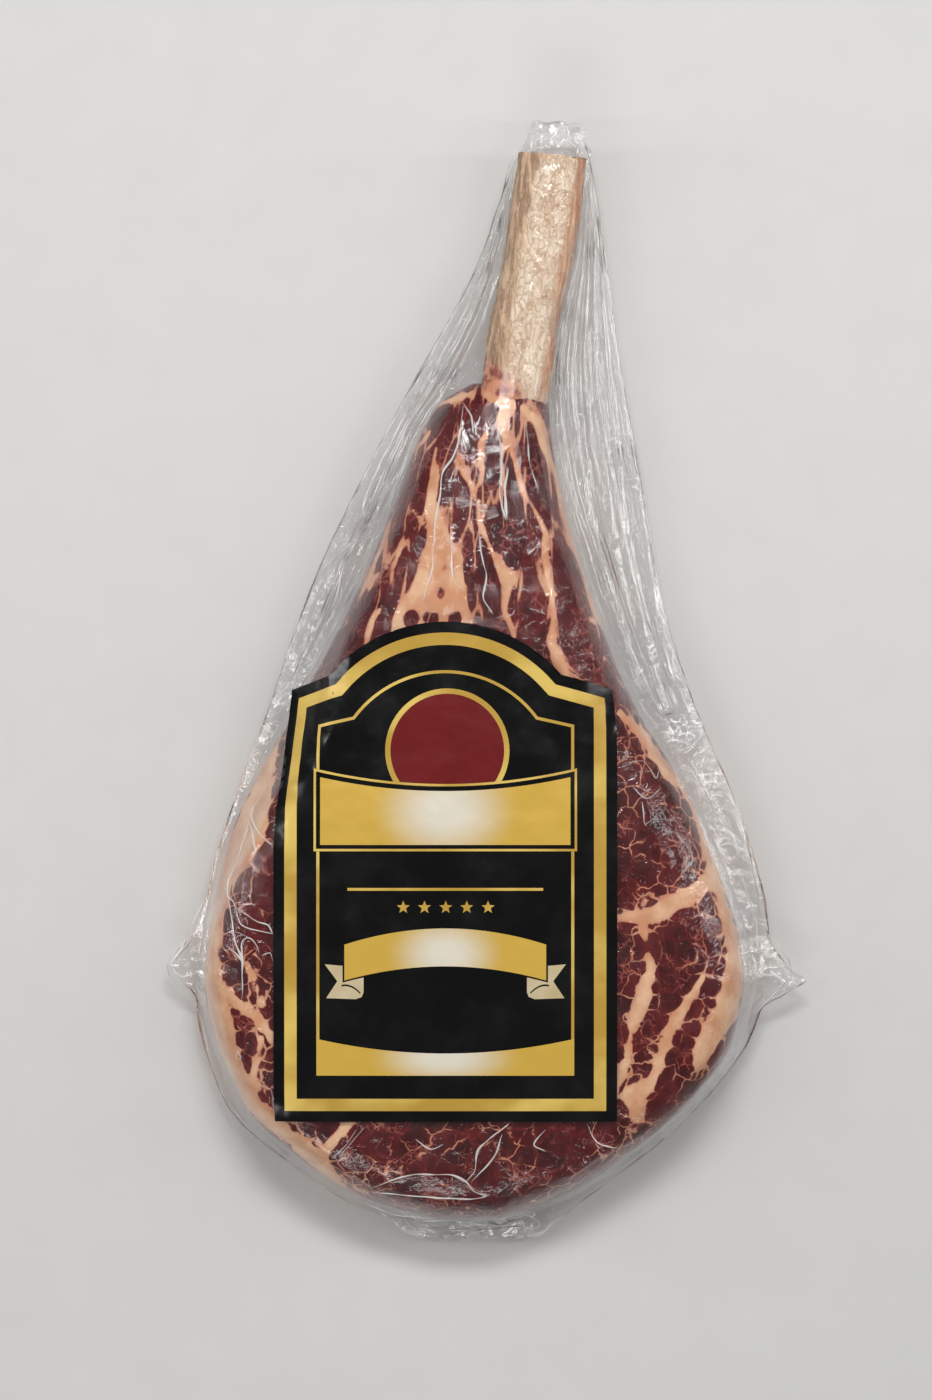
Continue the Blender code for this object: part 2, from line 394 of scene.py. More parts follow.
# %% Draw the seams of fat
SEAMS = (
    # the neck: the broad wedge, the fat round the bone's foot and the long thin seams
    ((-19.5, 92, 0.7), (-21, 83, 2.0), (-21.7, 69, 2.4), (-18.7, 55, 4.7), (-17.2, 46, 8.5),
     (-18.7, 34, 12), (-21, 22, 16)),
    ((3, 99, 0.7), (6, 103, 3.0), (9, 109, 3.2), (2, 114, 2.4)),
    ((6, 103, 2.6), (8, 95, 1.6), (5.5, 87, 0.7), (9, 72, 0.4)),
    ((3, 99, 0.7), (-2.5, 95, 1.0), (-1.5, 82, 0.7), (-4, 74, 0.7)),
    ((-25.6, 107, 1.8), (-20, 110, 1.6), (-13, 112, 1.8), (-6, 114, 1.6)),
    ((15, 108, 1.2), (21, 102, 2.3), (23.6, 93, 1.7), (28, 82, 1.0), (31, 69, 1.0), (35, 55, 1.1),
     (39, 43, 1.1), (42, 32, 1.0), (48, 20, 1.2)),
    ((-12.3, 87, 0.5), (-6.6, 79, 0.9), (-3.3, 71, 0.9), (-3, 64, 0.8), (0.7, 55, 1.5), (2, 52, 1.7),
     (4.8, 46, 2.1), (8.9, 40, 3.2), (8.4, 36, 1.2), (7.7, 27, 0.5), (11.3, 17, 0.5)),
    ((9, 97, 0.5), (11.3, 87, 0.6), (15.4, 74, 0.8), (18.7, 68.6, 0.9), (22, 63, 1.1), (23.6, 58, 1.0),
     (23.6, 50, 0.8), (24.4, 42, 0.7), (26, 35, 0.8), (31, 31.8, 0.6)),
    ((26, 35, 0.6), (27, 24, 0.6), (26, 14.7, 1.9), (28.5, 8, 2.3), (32, 0, 1.6), (34, -8, 1.5)),
    ((33.4, 29.4, 0.6), (39, 25.3, 0.9), (43.2, 23, 0.8)),
    ((-22, 99, 0.5), (-27, 93, 0.6), (-29.5, 83, 0.6), (-31, 78, 0.5), (-36, 68, 0.5), (-41.7, 53, 0.5),
     (-47.4, 39, 0.6), (-55.6, 22, 0.5)),
    ((-28.6, 67, 0.5), (-26.2, 63.7, 0.8), (-22.9, 59.6, 0.4)),
    ((-32.7, 55.5, 0.5), (-36.8, 44, 0.8), (-37.6, 37.5, 0.5)),
    ((-41.7, 28, 0.6), (-45, 23.7, 0.9), (-47.4, 14.7, 0.5)),
    # right of the label: the strip under the film's edge, the rim, and the seams between muscles
    ((54, -13, 1.5), (62, -21, 2.2), (70, -34, 2.5), (80, -43, 2.2), (86.6, -56, 3), (90, -73, 3),
     (94, -87, 2.5), (99, -106, 3.5), (99, -119, 5), (95.7, -132, 5.5), (89, -141, 4.5),
     (84, -152, 3)),
    ((50, -95, 1.4), (67, -93, 3.5), (80, -85.5, 4), (90, -79, 3.5)),
    ((62, -98, 1.5), (65.4, -113, 1.5), (62.8, -126, 3), (58.6, -136, 2), (56, -149, 1.5),
     (53.6, -157, 2), (50, -166, 1)),
    ((86, -118, 1), (74, -137, 2.5), (69.6, -149, 2.5), (66, -159, 2.5), (58.6, -165.5, 5),
     (61, -175, 2)),
    # left of the label: the thick rim and the seams running in from it
    ((-84, -22, 2), (-87, -32, 3), (-89.4, -44, 5), (-94, -60, 7), (-104.6, -79, 5), (-109, -94, 4.5),
     (-110, -110, 4.5), (-109, -121, 4.5), (-105.4, -136, 5), (-101.4, -152, 5), (-95.4, -163, 4.5),
     (-91.8, -169, 4), (-78.4, -181, 3.5), (-66.6, -192, 4), (-60, -203, 3.5), (-50.6, -209, 2.5)),
    ((-105, -122, 2.5), (-96, -129.5, 2.2), (-88, -137, 2.2), (-84.6, -142, 2)),
    ((-95, -112.6, 1), (-91, -121, 1.8), (-88.6, -129, 1.2)),
    ((-89, -142, 1.2), (-91, -152, 1.6), (-93, -158, 1.6), (-91, -163, 2)),
    # the middle, which the label covers in front and which the back of the slab shows
    ((-84, -142, 2), (-62, -120, 2.4), (-40, -92, 3), (-24, -58, 3.4), (-20, -20, 5), (-22, 22, 9)),
    ((50, -95, 1.4), (34, -100, 2.2), (12, -92, 1.6), (-6, -66, 1.2), (-24, -58, 2)),
    ((50, -166, 1), (20, -172, 1.6), (-14, -162, 2.2), (-48, -168, 1.4), (-66, -190, 2.4)),
    ((34, -8, 2), (30, -34, 1.6), (38, -62, 1.4), (50, -95, 1.4)),
)
# round spots of lean in the wedge: their middles and half their widths
REDS = ((-16.5, 44, 1.5), (-18, 34.5, 2.3), (-29, 24, 3), (-22, 24, 3.4), (-12, 24, 2.6))


def outside_fat(points):
    """Millimetres from each point to the edge of the nearest seam, less than 0 inside it."""
    best = np.full(len(points), 9.0)
    for seam in SEAMS:
        marks = np.array(seam, float)
        for a, b in zip(marks[:-1], marks[1:]):
            run = b[:2] - a[:2]
            along = np.clip(((points - a[:2]) @ run) / (run @ run), 0, 1)
            away = np.hypot(*(points - a[:2] - along[:, None] * run).T)
            best = np.minimum(best, away - (a[2] + (b[2] - a[2]) * along))
    for x, y, radius in REDS:
        best = np.maximum(best, radius - np.hypot(points[:, 0] - x, points[:, 1] - y))
    return np.clip(best, -9, 9)


print(len(SEAMS), "seams of fat")

# %% [markdown]
# ## The slab
#
# The slab's side is round, like any soft thing under tight film: steep where it meets the edge,
# then easing into the flat cut face. The rounding depends only on how far in from the outline a
# point is, so we measure that once for the whole grid. The columns crowd towards both sides,
# where the curve is tightest.

# %% Model the slab of meat
STEAK_COLUMNS, STEAK_ROWS = 140, 236
ROUND_UP, ROUND_DOWN, ROUND_POWER = 18, 11, 2.2
FILM_CLEARANCE = 1.0                # the meat stays this far under the film's own surface


def rounded(depth, reach):
    q = np.clip(depth / reach, 0, 1)
    return (1 - (1 - q) ** ROUND_POWER) ** (1 / ROUND_POWER)


def slab_depth(points):
    """Millimetres in from the slab's outline, less than 0 outside it."""
    nearest = distance_to(points, slab_outline, closed=True)
    inside = ((points[:, 1] > SLAB_LEFT[0][0]) & (points[:, 1] < SLAB_LEFT[-1][0])
              & (points[:, 0] > curve(SLAB_LEFT, points[:, 1]))
              & (points[:, 0] < curve(SLAB_RIGHT, points[:, 1])))
    return np.where(inside, nearest, -nearest)


def slab_heights(points):
    """The slab's upper and lower surface."""
    depth = slab_depth(points)
    edge = curve(EDGE_HEIGHT, points[:, 1])
    face = curve(FACE_HEIGHT, points[:, 1]) + 1.6 * ease(depth, 0, 60) - FILM_CLEARANCE
    reach = ROUND_UP - 5 * ease(points[:, 1], 95, 119)
    up = edge + (face - edge) * rounded(depth, reach)
    down = edge + (FILM_CLEARANCE - edge) * rounded(depth, ROUND_DOWN)
    return up, down


steak, column, row, upper = closed_block("steak", STEAK_COLUMNS, STEAK_ROWS)
along = np.linspace(0, 1, STEAK_ROWS + 1)
along = along - 0.035 * np.sin(2 * np.pi * along) / np.pi * 2      # closer rows at both ends
steak_y = SLAB_LEFT[0][0] + (SLAB_LEFT[-1][0] - SLAB_LEFT[0][0]) * along
across = np.linspace(-1, 1, STEAK_COLUMNS + 1)
across = 0.5 + 0.5 * (0.72 * across + 0.28 * np.sin(across * np.pi / 2))
left, right = curve(SLAB_LEFT, steak_y), curve(SLAB_RIGHT, steak_y)
steak_x = left[:, None] + (right - left)[:, None] * across[None, :]
grid = np.stack([steak_x.ravel(), np.repeat(steak_y, STEAK_COLUMNS + 1)], 1)
up, down = slab_heights(grid)
fat = outside_fat(grid)
proud = 0.55 * (1 - ease(fat, -1.2, 1.2)) + 0.5 * lumps(grid, 14, 3.1) + 0.22 * lumps(grid, 5, 8.7)
rise = ease(slab_depth(grid), 0, 4)
up, down = up + proud * rise - 0.5, down - proud * rise * 0.5 + 0.4
ceiling = cast(bag_surface, grid) - 0.9
up = np.where(np.isnan(ceiling), up, np.minimum(up, ceiling))
down = np.minimum(down, up - 0.2)
index = row * (STEAK_COLUMNS + 1) + column
move_points(steak, np.stack([grid[index, 0], grid[index, 1],
                             np.where(upper, up[index], down[index])], 1))
store(steak, "fat", fat[index])
bpy.ops.object.shade_smooth()
print("Steak:", len(steak.data.polygons), "faces")

# %% [markdown]
# ## Which way the grain runs
#
# In the neck the muscle fibres fan out from the foot of the bone, and lower down the cut crosses
# them, so the marbling there is a net with no direction. A pattern that follows the fan needs its
# own coordinates: how far round the fan a point is, and how far down it. They go into a UV map.

# %% Store the fan as a UV map
FAN_FOOT = np.array([12.0, 205.0])
reach = grid - FAN_FOOT
fan_round = np.degrees(np.arctan2(reach[:, 0], -reach[:, 1]))
fan_down = np.hypot(*reach.T)
BUNDLES_ROUND, BUNDLES_DOWN = 0.30, 0.024       # bundles to a degree and to a millimetre
fan = np.stack([fan_round * BUNDLES_ROUND, fan_down * BUNDLES_DOWN], 1)
store_uv(steak, "Fan", fan[index])
print("Fan stored on", len(steak.data.loops), "corners")

# %% [markdown]
# ## Lean and fat
#
# One finish holds both. The stored distance, roughened by a fine noise, says seam or lean. Inside
# the lean, a Voronoi texture gives the net of thin fat lines: the edges between its cells, drawn
# a little thicker or thinner by another noise and missing altogether in places. The red itself
# is never one colour: it is dark in the middle of a bundle and brighter beside the fat.

# %% Wire the meat's finish
meat = Finish("marbled_beef", Roughness=0.5, Subsurface_Weight=0.10, Subsurface_Scale=0.0015,
              Specular_IOR_Level=0.2)
meat.shader.inputs["Subsurface Radius"].default_value = (1.0, 0.25, 0.15)
distance = meat.add("Attribute", {"attribute_name": "fat"}).outputs["Fac"]
where = meat.add("SeparateXYZ")
meat.join(meat.coords(), where.inputs[0])
in_neck = meat.ramp(where.outputs["Y"], -0.012, 0.020)


def bundles(coords, scale, size, warp, warp_scale):
    """Bundles of muscle: millimetres to the edge of each point's bundle, and a tone for each."""
    bend = meat.add("TexNoise", None, Scale=warp_scale, Detail=3.0)
    meat.join(coords, bend.inputs["Vector"])
    moved = meat.add("VectorMath", {"operation": "MULTIPLY_ADD"})
    meat.join(bend.outputs["Color"], moved.inputs[0])
    moved.inputs[1].default_value = (warp, warp, warp)
    meat.join(coords, moved.inputs[2])
    cells = meat.add("TexVoronoi", {"feature": "DISTANCE_TO_EDGE"}, Scale=scale)
    tones = meat.add("TexVoronoi", {"feature": "F1"}, Scale=scale)
    for node in (cells, tones):
        meat.join(moved.outputs[0], node.inputs["Vector"])
    return meat.math("MULTIPLY", cells.outputs["Distance"], size), tones.outputs["Color"]


def mix_values(share, a, b):
    return meat.math("ADD", meat.math("MULTIPLY", b, share),
                     meat.math("MULTIPLY", a, meat.math("SUBTRACT", 1.0, share)))


fan_coords = meat.coords((1, 1, 1), uv="Fan")
neck_edge, neck_tone = bundles(fan_coords, 1.0, 8.0, 0.7, 1.3)
body_edge, body_tone = bundles(meat.coords(), 112, 9.0, 0.007, 150)
fine_edge, _ = bundles(meat.coords(), 270, 3.7, 0.004, 330)
to_edge = mix_values(in_neck, body_edge, neck_edge)
tone = meat.mix(in_neck, body_tone, neck_tone)

# The seams: lobes of lean bulge into them, and they run out in points between the bundles.
ragged = meat.noise(420, 4, 0.6)
in_band = meat.ramp(distance, -3.0, -0.4)
lobes = meat.math("MULTIPLY_ADD", meat.math("MINIMUM", to_edge, 3.0), 0.62, -0.75)
lobes = meat.math("MULTIPLY", lobes, in_band)
edge = meat.math("ADD", meat.math("ADD", distance, lobes), meat.math("MULTIPLY_ADD", ragged, 1.3, -0.65))
seam = meat.ramp(edge, -0.3, 0.3, 1, 0)

# The net: its lines are wide beside a seam, thin away from it, and missing in places.
beside = meat.math("POWER", meat.ramp(distance, 0.0, 5.0, 1, 0), 2.0)
present = meat.ramp(meat.noise(62, 4, 0.65), 0.40, 0.58)
line_half = meat.math("ADD", meat.math("MULTIPLY", beside, 0.36),
                      meat.math("MULTIPLY_ADD", present, 0.40, -0.20))
line_edge = meat.math("SUBTRACT", to_edge, line_half)
lines = meat.ramp(line_edge, -0.16, 0.2, 1, 0)
fine_half = meat.math("MULTIPLY_ADD", meat.ramp(meat.noise(85, 3, 0.6), 0.46, 0.62), 0.36, -0.17)
fine = meat.ramp(meat.math("SUBTRACT", fine_edge, fine_half), -0.12, 0.14, 1, 0)
wisp = meat.math("ABSOLUTE", meat.math("SUBTRACT", meat.noise(190, 2.5, 0.55, None, 0.9), 0.5))
wisps = meat.math("MULTIPLY", meat.ramp(wisp, 0.0, 0.014, 1, 0),
                  meat.ramp(meat.noise(70, 2), 0.54, 0.62))
thin = meat.math("MAXIMUM", meat.math("MULTIPLY", fine, 0.62), meat.math("MULTIPLY", wisps, 0.45))
white = meat.math("MAXIMUM", seam, meat.math("MULTIPLY", lines, 0.85), clamp=True)

tones = meat.add("SeparateColor")
meat.join(tone, tones.inputs[0])
mottle = meat.math("ADD", meat.math("MULTIPLY", meat.noise(120, 5, 0.62), 0.75),
                   meat.math("MULTIPLY_ADD", tones.outputs[0], 0.20, 0.02))
DARK_LEAN, BRIGHT_LEAN, FIBRE_RED = linear(52, 7, 11), linear(94, 17, 21), linear(136, 50, 44)
EDGE_RED, THIN_FAT, FAT_SHADE = linear(134, 28, 27), linear(178, 94, 84), linear(208, 150, 112)
FAT_CREAM, FAT_TAN, FAT_PINK = linear(232, 190, 154), linear(196, 122, 92), linear(206, 118, 96)
red = meat.mix(meat.ramp(mottle, 0.28, 0.72), DARK_LEAN, BRIGHT_LEAN)
fibres = meat.add("TexNoise", None, Scale=1.0, Detail=4.0)
meat.join(meat.coords((7, 1.6, 1), uv="Fan"), fibres.inputs["Vector"])
red = meat.mix(meat.ramp(fibres.outputs["Fac"], 0.5, 0.75, 0, 0.30), red, FIBRE_RED)
red = meat.mix(thin, red, THIN_FAT)
near_fat = meat.math("MINIMUM", edge, meat.math("MULTIPLY", line_edge, 2.0))
red = meat.mix(meat.ramp(near_fat, 0.2, 2.2, 0.26, 0), red, EDGE_RED)
cream = meat.mix(meat.ramp(meat.noise(75, 4), 0.35, 0.68), FAT_SHADE, FAT_CREAM)
cream = meat.mix(meat.ramp(ragged, 0.56, 0.74, 0, 0.3), cream, FAT_TAN)
cream = meat.mix(meat.ramp(edge, -1.6, 0.2, 0, 0.38), cream, FAT_PINK)
meat.paint(meat.mix(white, red, cream))
meat.paint(meat.ramp(meat.noise(160, 3), 0.3, 0.7, 0.32, 0.5), "Roughness")
meat.bump(meat.math("ADD", white, meat.noise(700, 2)), 0.25, 0.0006)
dress(steak, meat)
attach(steak, "root")
print("Meat wired with", len(meat.nodes), "nodes")

# %% [markdown]
# ## The rib bone
#
# A rib is a flat-sided rod. It starts as a cylinder whose side is cut into many rings, each ring
# is slid onto the bone's bent centre line, and its round section is pressed towards a soft
# rectangle with one flatter side. The scraped surface is papery and crinkled, and the sawn end
# shows a ring of hard bone round red marrow.

# %% Model the rib bone
BONE_LINE = ((86, 6), (116, 11.8), (140, 15), (172, 21.8), (210, 27))
BONE_HALF_WIDTH = ((86, 11), (112, 13.6), (140, 13.6), (175, 14), (210, 13.6))
BONE_SIDES, BONE_RINGS = 120, 128
BONE_FOOT, BONE_END = 86, 209.5
BONE_TOP, BONE_BOTTOM = 33.6, 6.6
SQUARENESS = 2.7                    # 2 is round, and a large number is a rectangle
END_STEPS = (0.94, 0.85, 0.7, 0.8, 0.6, 0.4)    # how much each ring on an end shrinks

deselect()
bpy.ops.mesh.primitive_cylinder_add(vertices=BONE_SIDES, radius=1, depth=1, end_fill_type="NGON",
                                    location=(0, 0, 0.5))
bone = bpy.context.object
bone.name = bone.data.name = "rib_bone"
bpy.ops.object.transform_apply(location=True)
edit_all()
bpy.ops.mesh.select_mode(type="FACE")
for cut in range(1, BONE_RINGS):
    bpy.ops.mesh.select_all(action="SELECT")
    bpy.ops.mesh.bisect(plane_co=(0, 0, cut / BONE_RINGS), plane_no=(0, 0, 1))
bpy.ops.object.mode_set(mode="OBJECT")
for place in (0.0, 1.0):
    for face in bone.data.polygons:
        face.select = len(face.vertices) > 4 and abs(face.center.z - place) < 0.01
    for scale in END_STEPS:
        bpy.ops.object.mode_set(mode="EDIT")
        bpy.ops.mesh.extrude_region_move()
        bpy.ops.transform.resize(value=(scale, scale, 1), center_override=(0, 0, place))
        bpy.ops.object.mode_set(mode="OBJECT")
places = points_of(bone)
radius = np.hypot(places[:, 0], places[:, 1])
angle = np.arctan2(places[:, 1], places[:, 0])
length = BONE_FOOT + (BONE_END - BONE_FOOT) * places[:, 2]
square = np.abs(np.cos(angle)) ** SQUARENESS + np.abs(np.sin(angle)) ** SQUARENESS
square **= -1 / SQUARENESS
wide = curve(BONE_HALF_WIDTH, length) * square * radius
high = (BONE_TOP - BONE_BOTTOM) / 2 * square * radius
x = curve(BONE_LINE, length) + wide * np.cos(angle)
z = (BONE_TOP + BONE_BOTTOM) / 2 + high * np.sin(angle) - 0.8 * ease(length, 180, 210)
skin = np.stack([x, length, z], 1)
crinkle = 0.35 * lumps(skin, 9, 1.3) + 0.45 * lumps(skin * (1, 0.6, 1), 3.2, 5.2, 3)
crinkle *= ease(radius, 0.6, 1)
x += crinkle * np.cos(angle)
flatter_side = ease(np.cos(angle), 0.35, 1) * ease(np.sin(angle), 0, 1)
z += crinkle * np.sin(angle) - 1.2 * flatter_side * radius
saw_slope = 0.5 * lumps(skin, 5, 2.2) + (x - 27) * -0.10 - 0.7 * (1 - radius) ** 2
length += (places[:, 2] > 0.999) * saw_slope
move_points(bone, np.stack([x, length, z], 1))
store(bone, "sawn", ease(places[:, 2], 0.9975, 0.9999) * (1 - ease(radius, 0.72, 0.86)))
edit_all()
bpy.ops.mesh.normals_make_consistent(inside=False)
bpy.ops.object.mode_set(mode="OBJECT")
bpy.ops.object.shade_smooth_by_angle(angle=math.radians(50))
print("Bone:", len(bone.data.polygons), "faces")

# %% Wire the bone's finish
ivory = Finish("scraped_bone", Roughness=0.5, Subsurface_Weight=0.08, Subsurface_Scale=0.002)
ivory.shader.inputs["Subsurface Radius"].default_value = (1.0, 0.5, 0.3)
along_bone = ivory.coords((420, 240, 420))
bend = ivory.add("TexNoise", None, Scale=0.6, Detail=4.0)
ivory.join(along_bone, bend.inputs["Vector"])
bent = ivory.add("VectorMath", {"operation": "MULTIPLY_ADD"})
ivory.join(bend.outputs["Color"], bent.inputs[0])
bent.inputs[1].default_value = (2.4, 2.4, 2.4)
ivory.join(along_bone, bent.inputs[2])
flake = ivory.add("TexVoronoi", {"feature": "F1"}, Scale=1.0)
gap = ivory.add("TexVoronoi", {"feature": "DISTANCE_TO_EDGE"}, Scale=1.0)
for node in (flake, gap):
    ivory.join(bent.outputs[0], node.inputs["Vector"])
flake_tone = ivory.add("SeparateColor")
ivory.join(flake.outputs["Color"], flake_tone.inputs[0])
# painted shade: near each crevice between the crinkles the colour goes towards a dark brown
painted_crevice_shade = ivory.ramp(gap.outputs["Distance"], 0.0, 0.09, 0.6, 0)
dry = ivory.ramp(ivory.noise(80, 4, 0.6), 0.36, 0.62)
papery = ivory.mix(dry, linear(202, 166, 132), linear(228, 206, 180))
# partly random tone and partly painted highlight: each flake is lightened by a random share towards near
# white, for the glints of crinkled film
papery = ivory.mix(ivory.math("MULTIPLY", flake_tone.outputs[0], 0.5), papery,
                   linear(248, 234, 214))
# painted shade in the crevices, dark brown
papery = ivory.mix(painted_crevice_shade, papery, linear(164, 112, 76))
streak = ivory.noise(1, 5, 0.65, ivory.coords((420, 60, 420)))
where = ivory.add("SeparateXYZ")
ivory.join(ivory.coords(), where.inputs[0])
lean_line = ivory.math("MULTIPLY_ADD", where.outputs["Y"], -0.165, where.outputs["X"])
off_middle = ivory.math("ADD", ivory.math("SUBTRACT", lean_line, -0.0075),
                        ivory.math("MULTIPLY_ADD", ivory.noise(120, 3), 0.004, -0.002))
streaks = ivory.ramp(streak, 0.42, 0.62)
tan_side = ivory.mix(streaks, linear(142, 104, 76), linear(212, 178, 144))
papery = ivory.mix(ivory.ramp(off_middle, -0.0045, -0.0070, 0, 0.8), papery, tan_side)
red_side = ivory.mix(streaks, linear(178, 112, 82), linear(220, 174, 138))
papery = ivory.mix(ivory.ramp(off_middle, 0.0085, 0.0115, 0, 0.75), papery, red_side)
up_the_bone = ivory.math("ADD", ivory.math("MULTIPLY", off_middle, 0.9), ivory.math(
    "MULTIPLY_ADD", ivory.noise(140, 3), 0.014, where.outputs["Y"]))
membrane = ivory.mix(ivory.ramp(ivory.noise(190, 4), 0.42, 0.6), linear(142, 48, 40),
                     linear(222, 150, 114))
papery = ivory.mix(ivory.ramp(up_the_bone, 0.121, 0.128, 0.85, 0), papery, membrane)
sawn = ivory.add("Attribute", {"attribute_name": "sawn"}).outputs["Fac"]
marrow = ivory.mix(ivory.ramp(ivory.noise(600, 2), 0.4, 0.6), linear(120, 40, 34),
                   linear(176, 96, 76))
ivory.paint(ivory.mix(sawn, papery, marrow))
crumpled = ivory.math("ADD", ivory.math("MINIMUM", gap.outputs["Distance"], 0.3),
                      ivory.math("MULTIPLY", flake_tone.outputs[1], 0.25))
crumpled = ivory.math("ADD", crumpled, ivory.math("MULTIPLY", ivory.noise(900, 3), 0.2))
ivory.bump(crumpled, 0.9, 0.0011)
dress(bone, ivory)
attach(bone, "root")
print("Bone wired")

# %% [markdown]
# ## The film
#
# The bag's outline and both its heights are taken from the solid: every row of the solid's points
# gives the two side edges, and rays dropped from above and sent up from below find the surfaces.
# The facets are then blurred away, and the folds are added: pleats fan down the web beside the
# bone, the corners and both hems are crumpled, and the rest follows the meat with faint waves.

# %% Read the solid bag's edges and surfaces
solid_points = np.array([v.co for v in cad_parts["bag"].data.vertices]) / MM
row_places = np.unique(np.round(solid_points[:, 1], 1))
rows_of_solid = [solid_points[np.abs(solid_points[:, 1] - y) < 0.06] for y in row_places]
left_edge = [(y, r[:, 0].min()) for y, r in zip(row_places, rows_of_solid) if len(r) > 20]
right_edge = [(y, r[:, 0].max()) for y, r in zip(row_places, rows_of_solid) if len(r) > 20]
print("The solid bag has", len(left_edge), "rows")

# %% Start the film and lay it over the solid
FILM_COLUMNS, FILM_ROWS = 156, 276
film, column, row, upper = closed_block("film", FILM_COLUMNS, FILM_ROWS)
film_y = np.linspace(left_edge[0][0], left_edge[-1][0], FILM_ROWS + 1)
left, right = np.interp(film_y, *zip(*left_edge)), np.interp(film_y, *zip(*right_edge))
film_u = np.linspace(0, 1, FILM_COLUMNS + 1)
film_x = left[:, None] + (right - left)[:, None] * film_u[None, :]
shape = film_x.shape
grid = np.stack([film_x.ravel(), np.repeat(film_y, FILM_COLUMNS + 1)], 1)
A_HAIR_IN = 0.9995                  # rays at the very edge would slip past the solid
top = cast(bag_surface, grid * A_HAIR_IN).reshape(shape)
low = cast(bag_surface, grid * A_HAIR_IN, down=False).reshape(shape)


def blur(heights, passes):
    for _ in range(passes):
        padded = np.pad(heights, 1, mode="edge")
        heights = (padded[1:-1, 1:-1] * 2 + padded[:-2, 1:-1] + padded[2:, 1:-1]
                   + padded[1:-1, :-2] + padded[1:-1, 2:]) / 6
    return heights


def with_neighbours(heights, pick):
    """The highest or the lowest of each point and the four beside it."""
    padded = np.pad(heights, 1, mode="edge")
    return pick.reduce([padded[1:-1, 1:-1], padded[:-2, 1:-1], padded[2:, 1:-1],
                        padded[1:-1, :-2], padded[1:-1, 2:]])


def filled(heights, other):
    """Rays that just miss the edge take the height the edge has."""
    return np.where(np.isnan(heights), other, heights)


edge_line = curve(EDGE_HEIGHT, film_y)[:, None] + np.zeros(shape)
top, low = blur(filled(top, edge_line), 3), blur(filled(low, edge_line), 3)
print("The film is", round(float((right - left).max())), "mm wide and lies up to",
      round(float(top.max()), 1), "mm high")

# %% [markdown]
# Folds are drawn the same way as the seams of fat, as strokes with a place for each mark. A fold
# in film is a ridge with a sharp back, so its height falls away quickly on both sides.

# %% Fold the film
FOLDS = (
    # (height, half width, marks): the web right of the bone
    (2.4, 1.5, ((44, 182), (48, 140), (57, 104), (62, 72), (68, 32), (75, -6))),
    (2.0, 1.3, ((40, 150), (42, 100), (39, 64), (47, 44), (48, 34), (55, 16), (60, -4))),
    (1.6, 1.2, ((46, 170), (52, 110), (55, 70), (60, 36), (66, 6), (71, -16))),
    (1.4, 1.1, ((40, 120), (48, 84), (52, 50), (57, 26))),
    (1.4, 1.2, ((50, 128), (58, 84), (65, 40), (74, 4), (84, -18))),
    (1.4, 1.4, ((60, -4), (70, -15), (80, -18))),
    (1.0, 1.2, ((92, -44), (101, -56), (106, -66))), (1.0, 1.2, ((96, -62), (108, -77))),
    # the web left of the bone
    (1.8, 1.4, ((4, 176), (-2, 152), (-16, 120), (-32, 84), (-48, 64), (-57, 46))),
    (1.6, 1.3, ((-66, 36), (-64, 30), (-74, 0), (-84, -20), (-96, -52))),
    (1.6, 1.6, ((-42, 61), (-56, 50), (-70, 35))),
    (1.2, 1.2, ((6, 160), (-4, 132), (-20, 108), (-38, 88))),
    (1.2, 1.2, ((-50, 70), (-60, 40), (-72, 12))),
    # tight over the meat
    (0.9, 1.3, ((-9, 112), (-12, 90), (-18, 76), (-21, 56), (-22, 40), (-26, 30))),
    (0.8, 1.2, ((-14, 58), (-13, 40), (-9, 33))), (0.8, 1.2, ((6, 80), (8, 66), (7, 58))),
    (0.7, 1.2, ((20, 100), (24, 76), (27, 54))),
    (1.0, 1.4, ((-103, -84), (-98, -112), (-97, -134))),
    (0.9, 1.2, ((-104, -92), (-92, -96), (-84, -90))),
    (0.9, 1.2, ((-100, -86), (-92, -104), (-86, -108))),
    (1.0, 1.3, ((-46, -203), (-25, -196), (-8, -199), (1, -206))),
    (1.0, 1.3, ((-7, -197), (-1, -186), (8, -177))), (0.9, 1.2, ((-49, -210), (-27, -216))),
    (0.8, 1.2, ((60, -182), (46, -188), (30, -200))), (0.7, 1.2, ((84, -96), (92, -110), (94, -128))),
)


def ridges(points):
    height = np.zeros(len(points))
    for tall, half, marks in FOLDS:
        marks = np.array(marks, float)
        away = distance_to(points, marks)
        ends = np.minimum(np.hypot(*(points - marks[0]).T), np.hypot(*(points - marks[-1]).T))
        height = np.maximum(height, tall * np.exp(-(away / half) ** 1.5) * ease(ends, -2, 10))
    return height


WEB_LEFT = ((-120, -113), (-68, -104), (-8, -76), (32, -54), (72, -37), (100, -26), (125, -9),
            (150, 2), (180, 9), (210, 13))
WEB_RIGHT = ((-120, 105), (-56, 88), (-4, 59), (32, 45), (72, 33), (100, 28), (118, 27), (140, 30),
             (172, 36.5), (210, 41))


def in_web(points, left, right):
    """How far across the loose web each point is, 0 at the meat or bone and 1 at the bag's side."""
    inner_left, inner_right = curve(WEB_LEFT, points[:, 1]), curve(WEB_RIGHT, points[:, 1])
    return np.maximum(np.clip((points[:, 0] - inner_right) / np.maximum(right - inner_right, 1), 0, 1),
                      np.clip((inner_left - points[:, 0]) / np.maximum(inner_left - left, 1), 0, 1))


def sharp(points, size, seed):
    """Random heights from about -1 to 1 that meet in sharp ridges, as crushed film does."""
    return 1 - 2.6 * np.abs(lumps(points, size, seed))


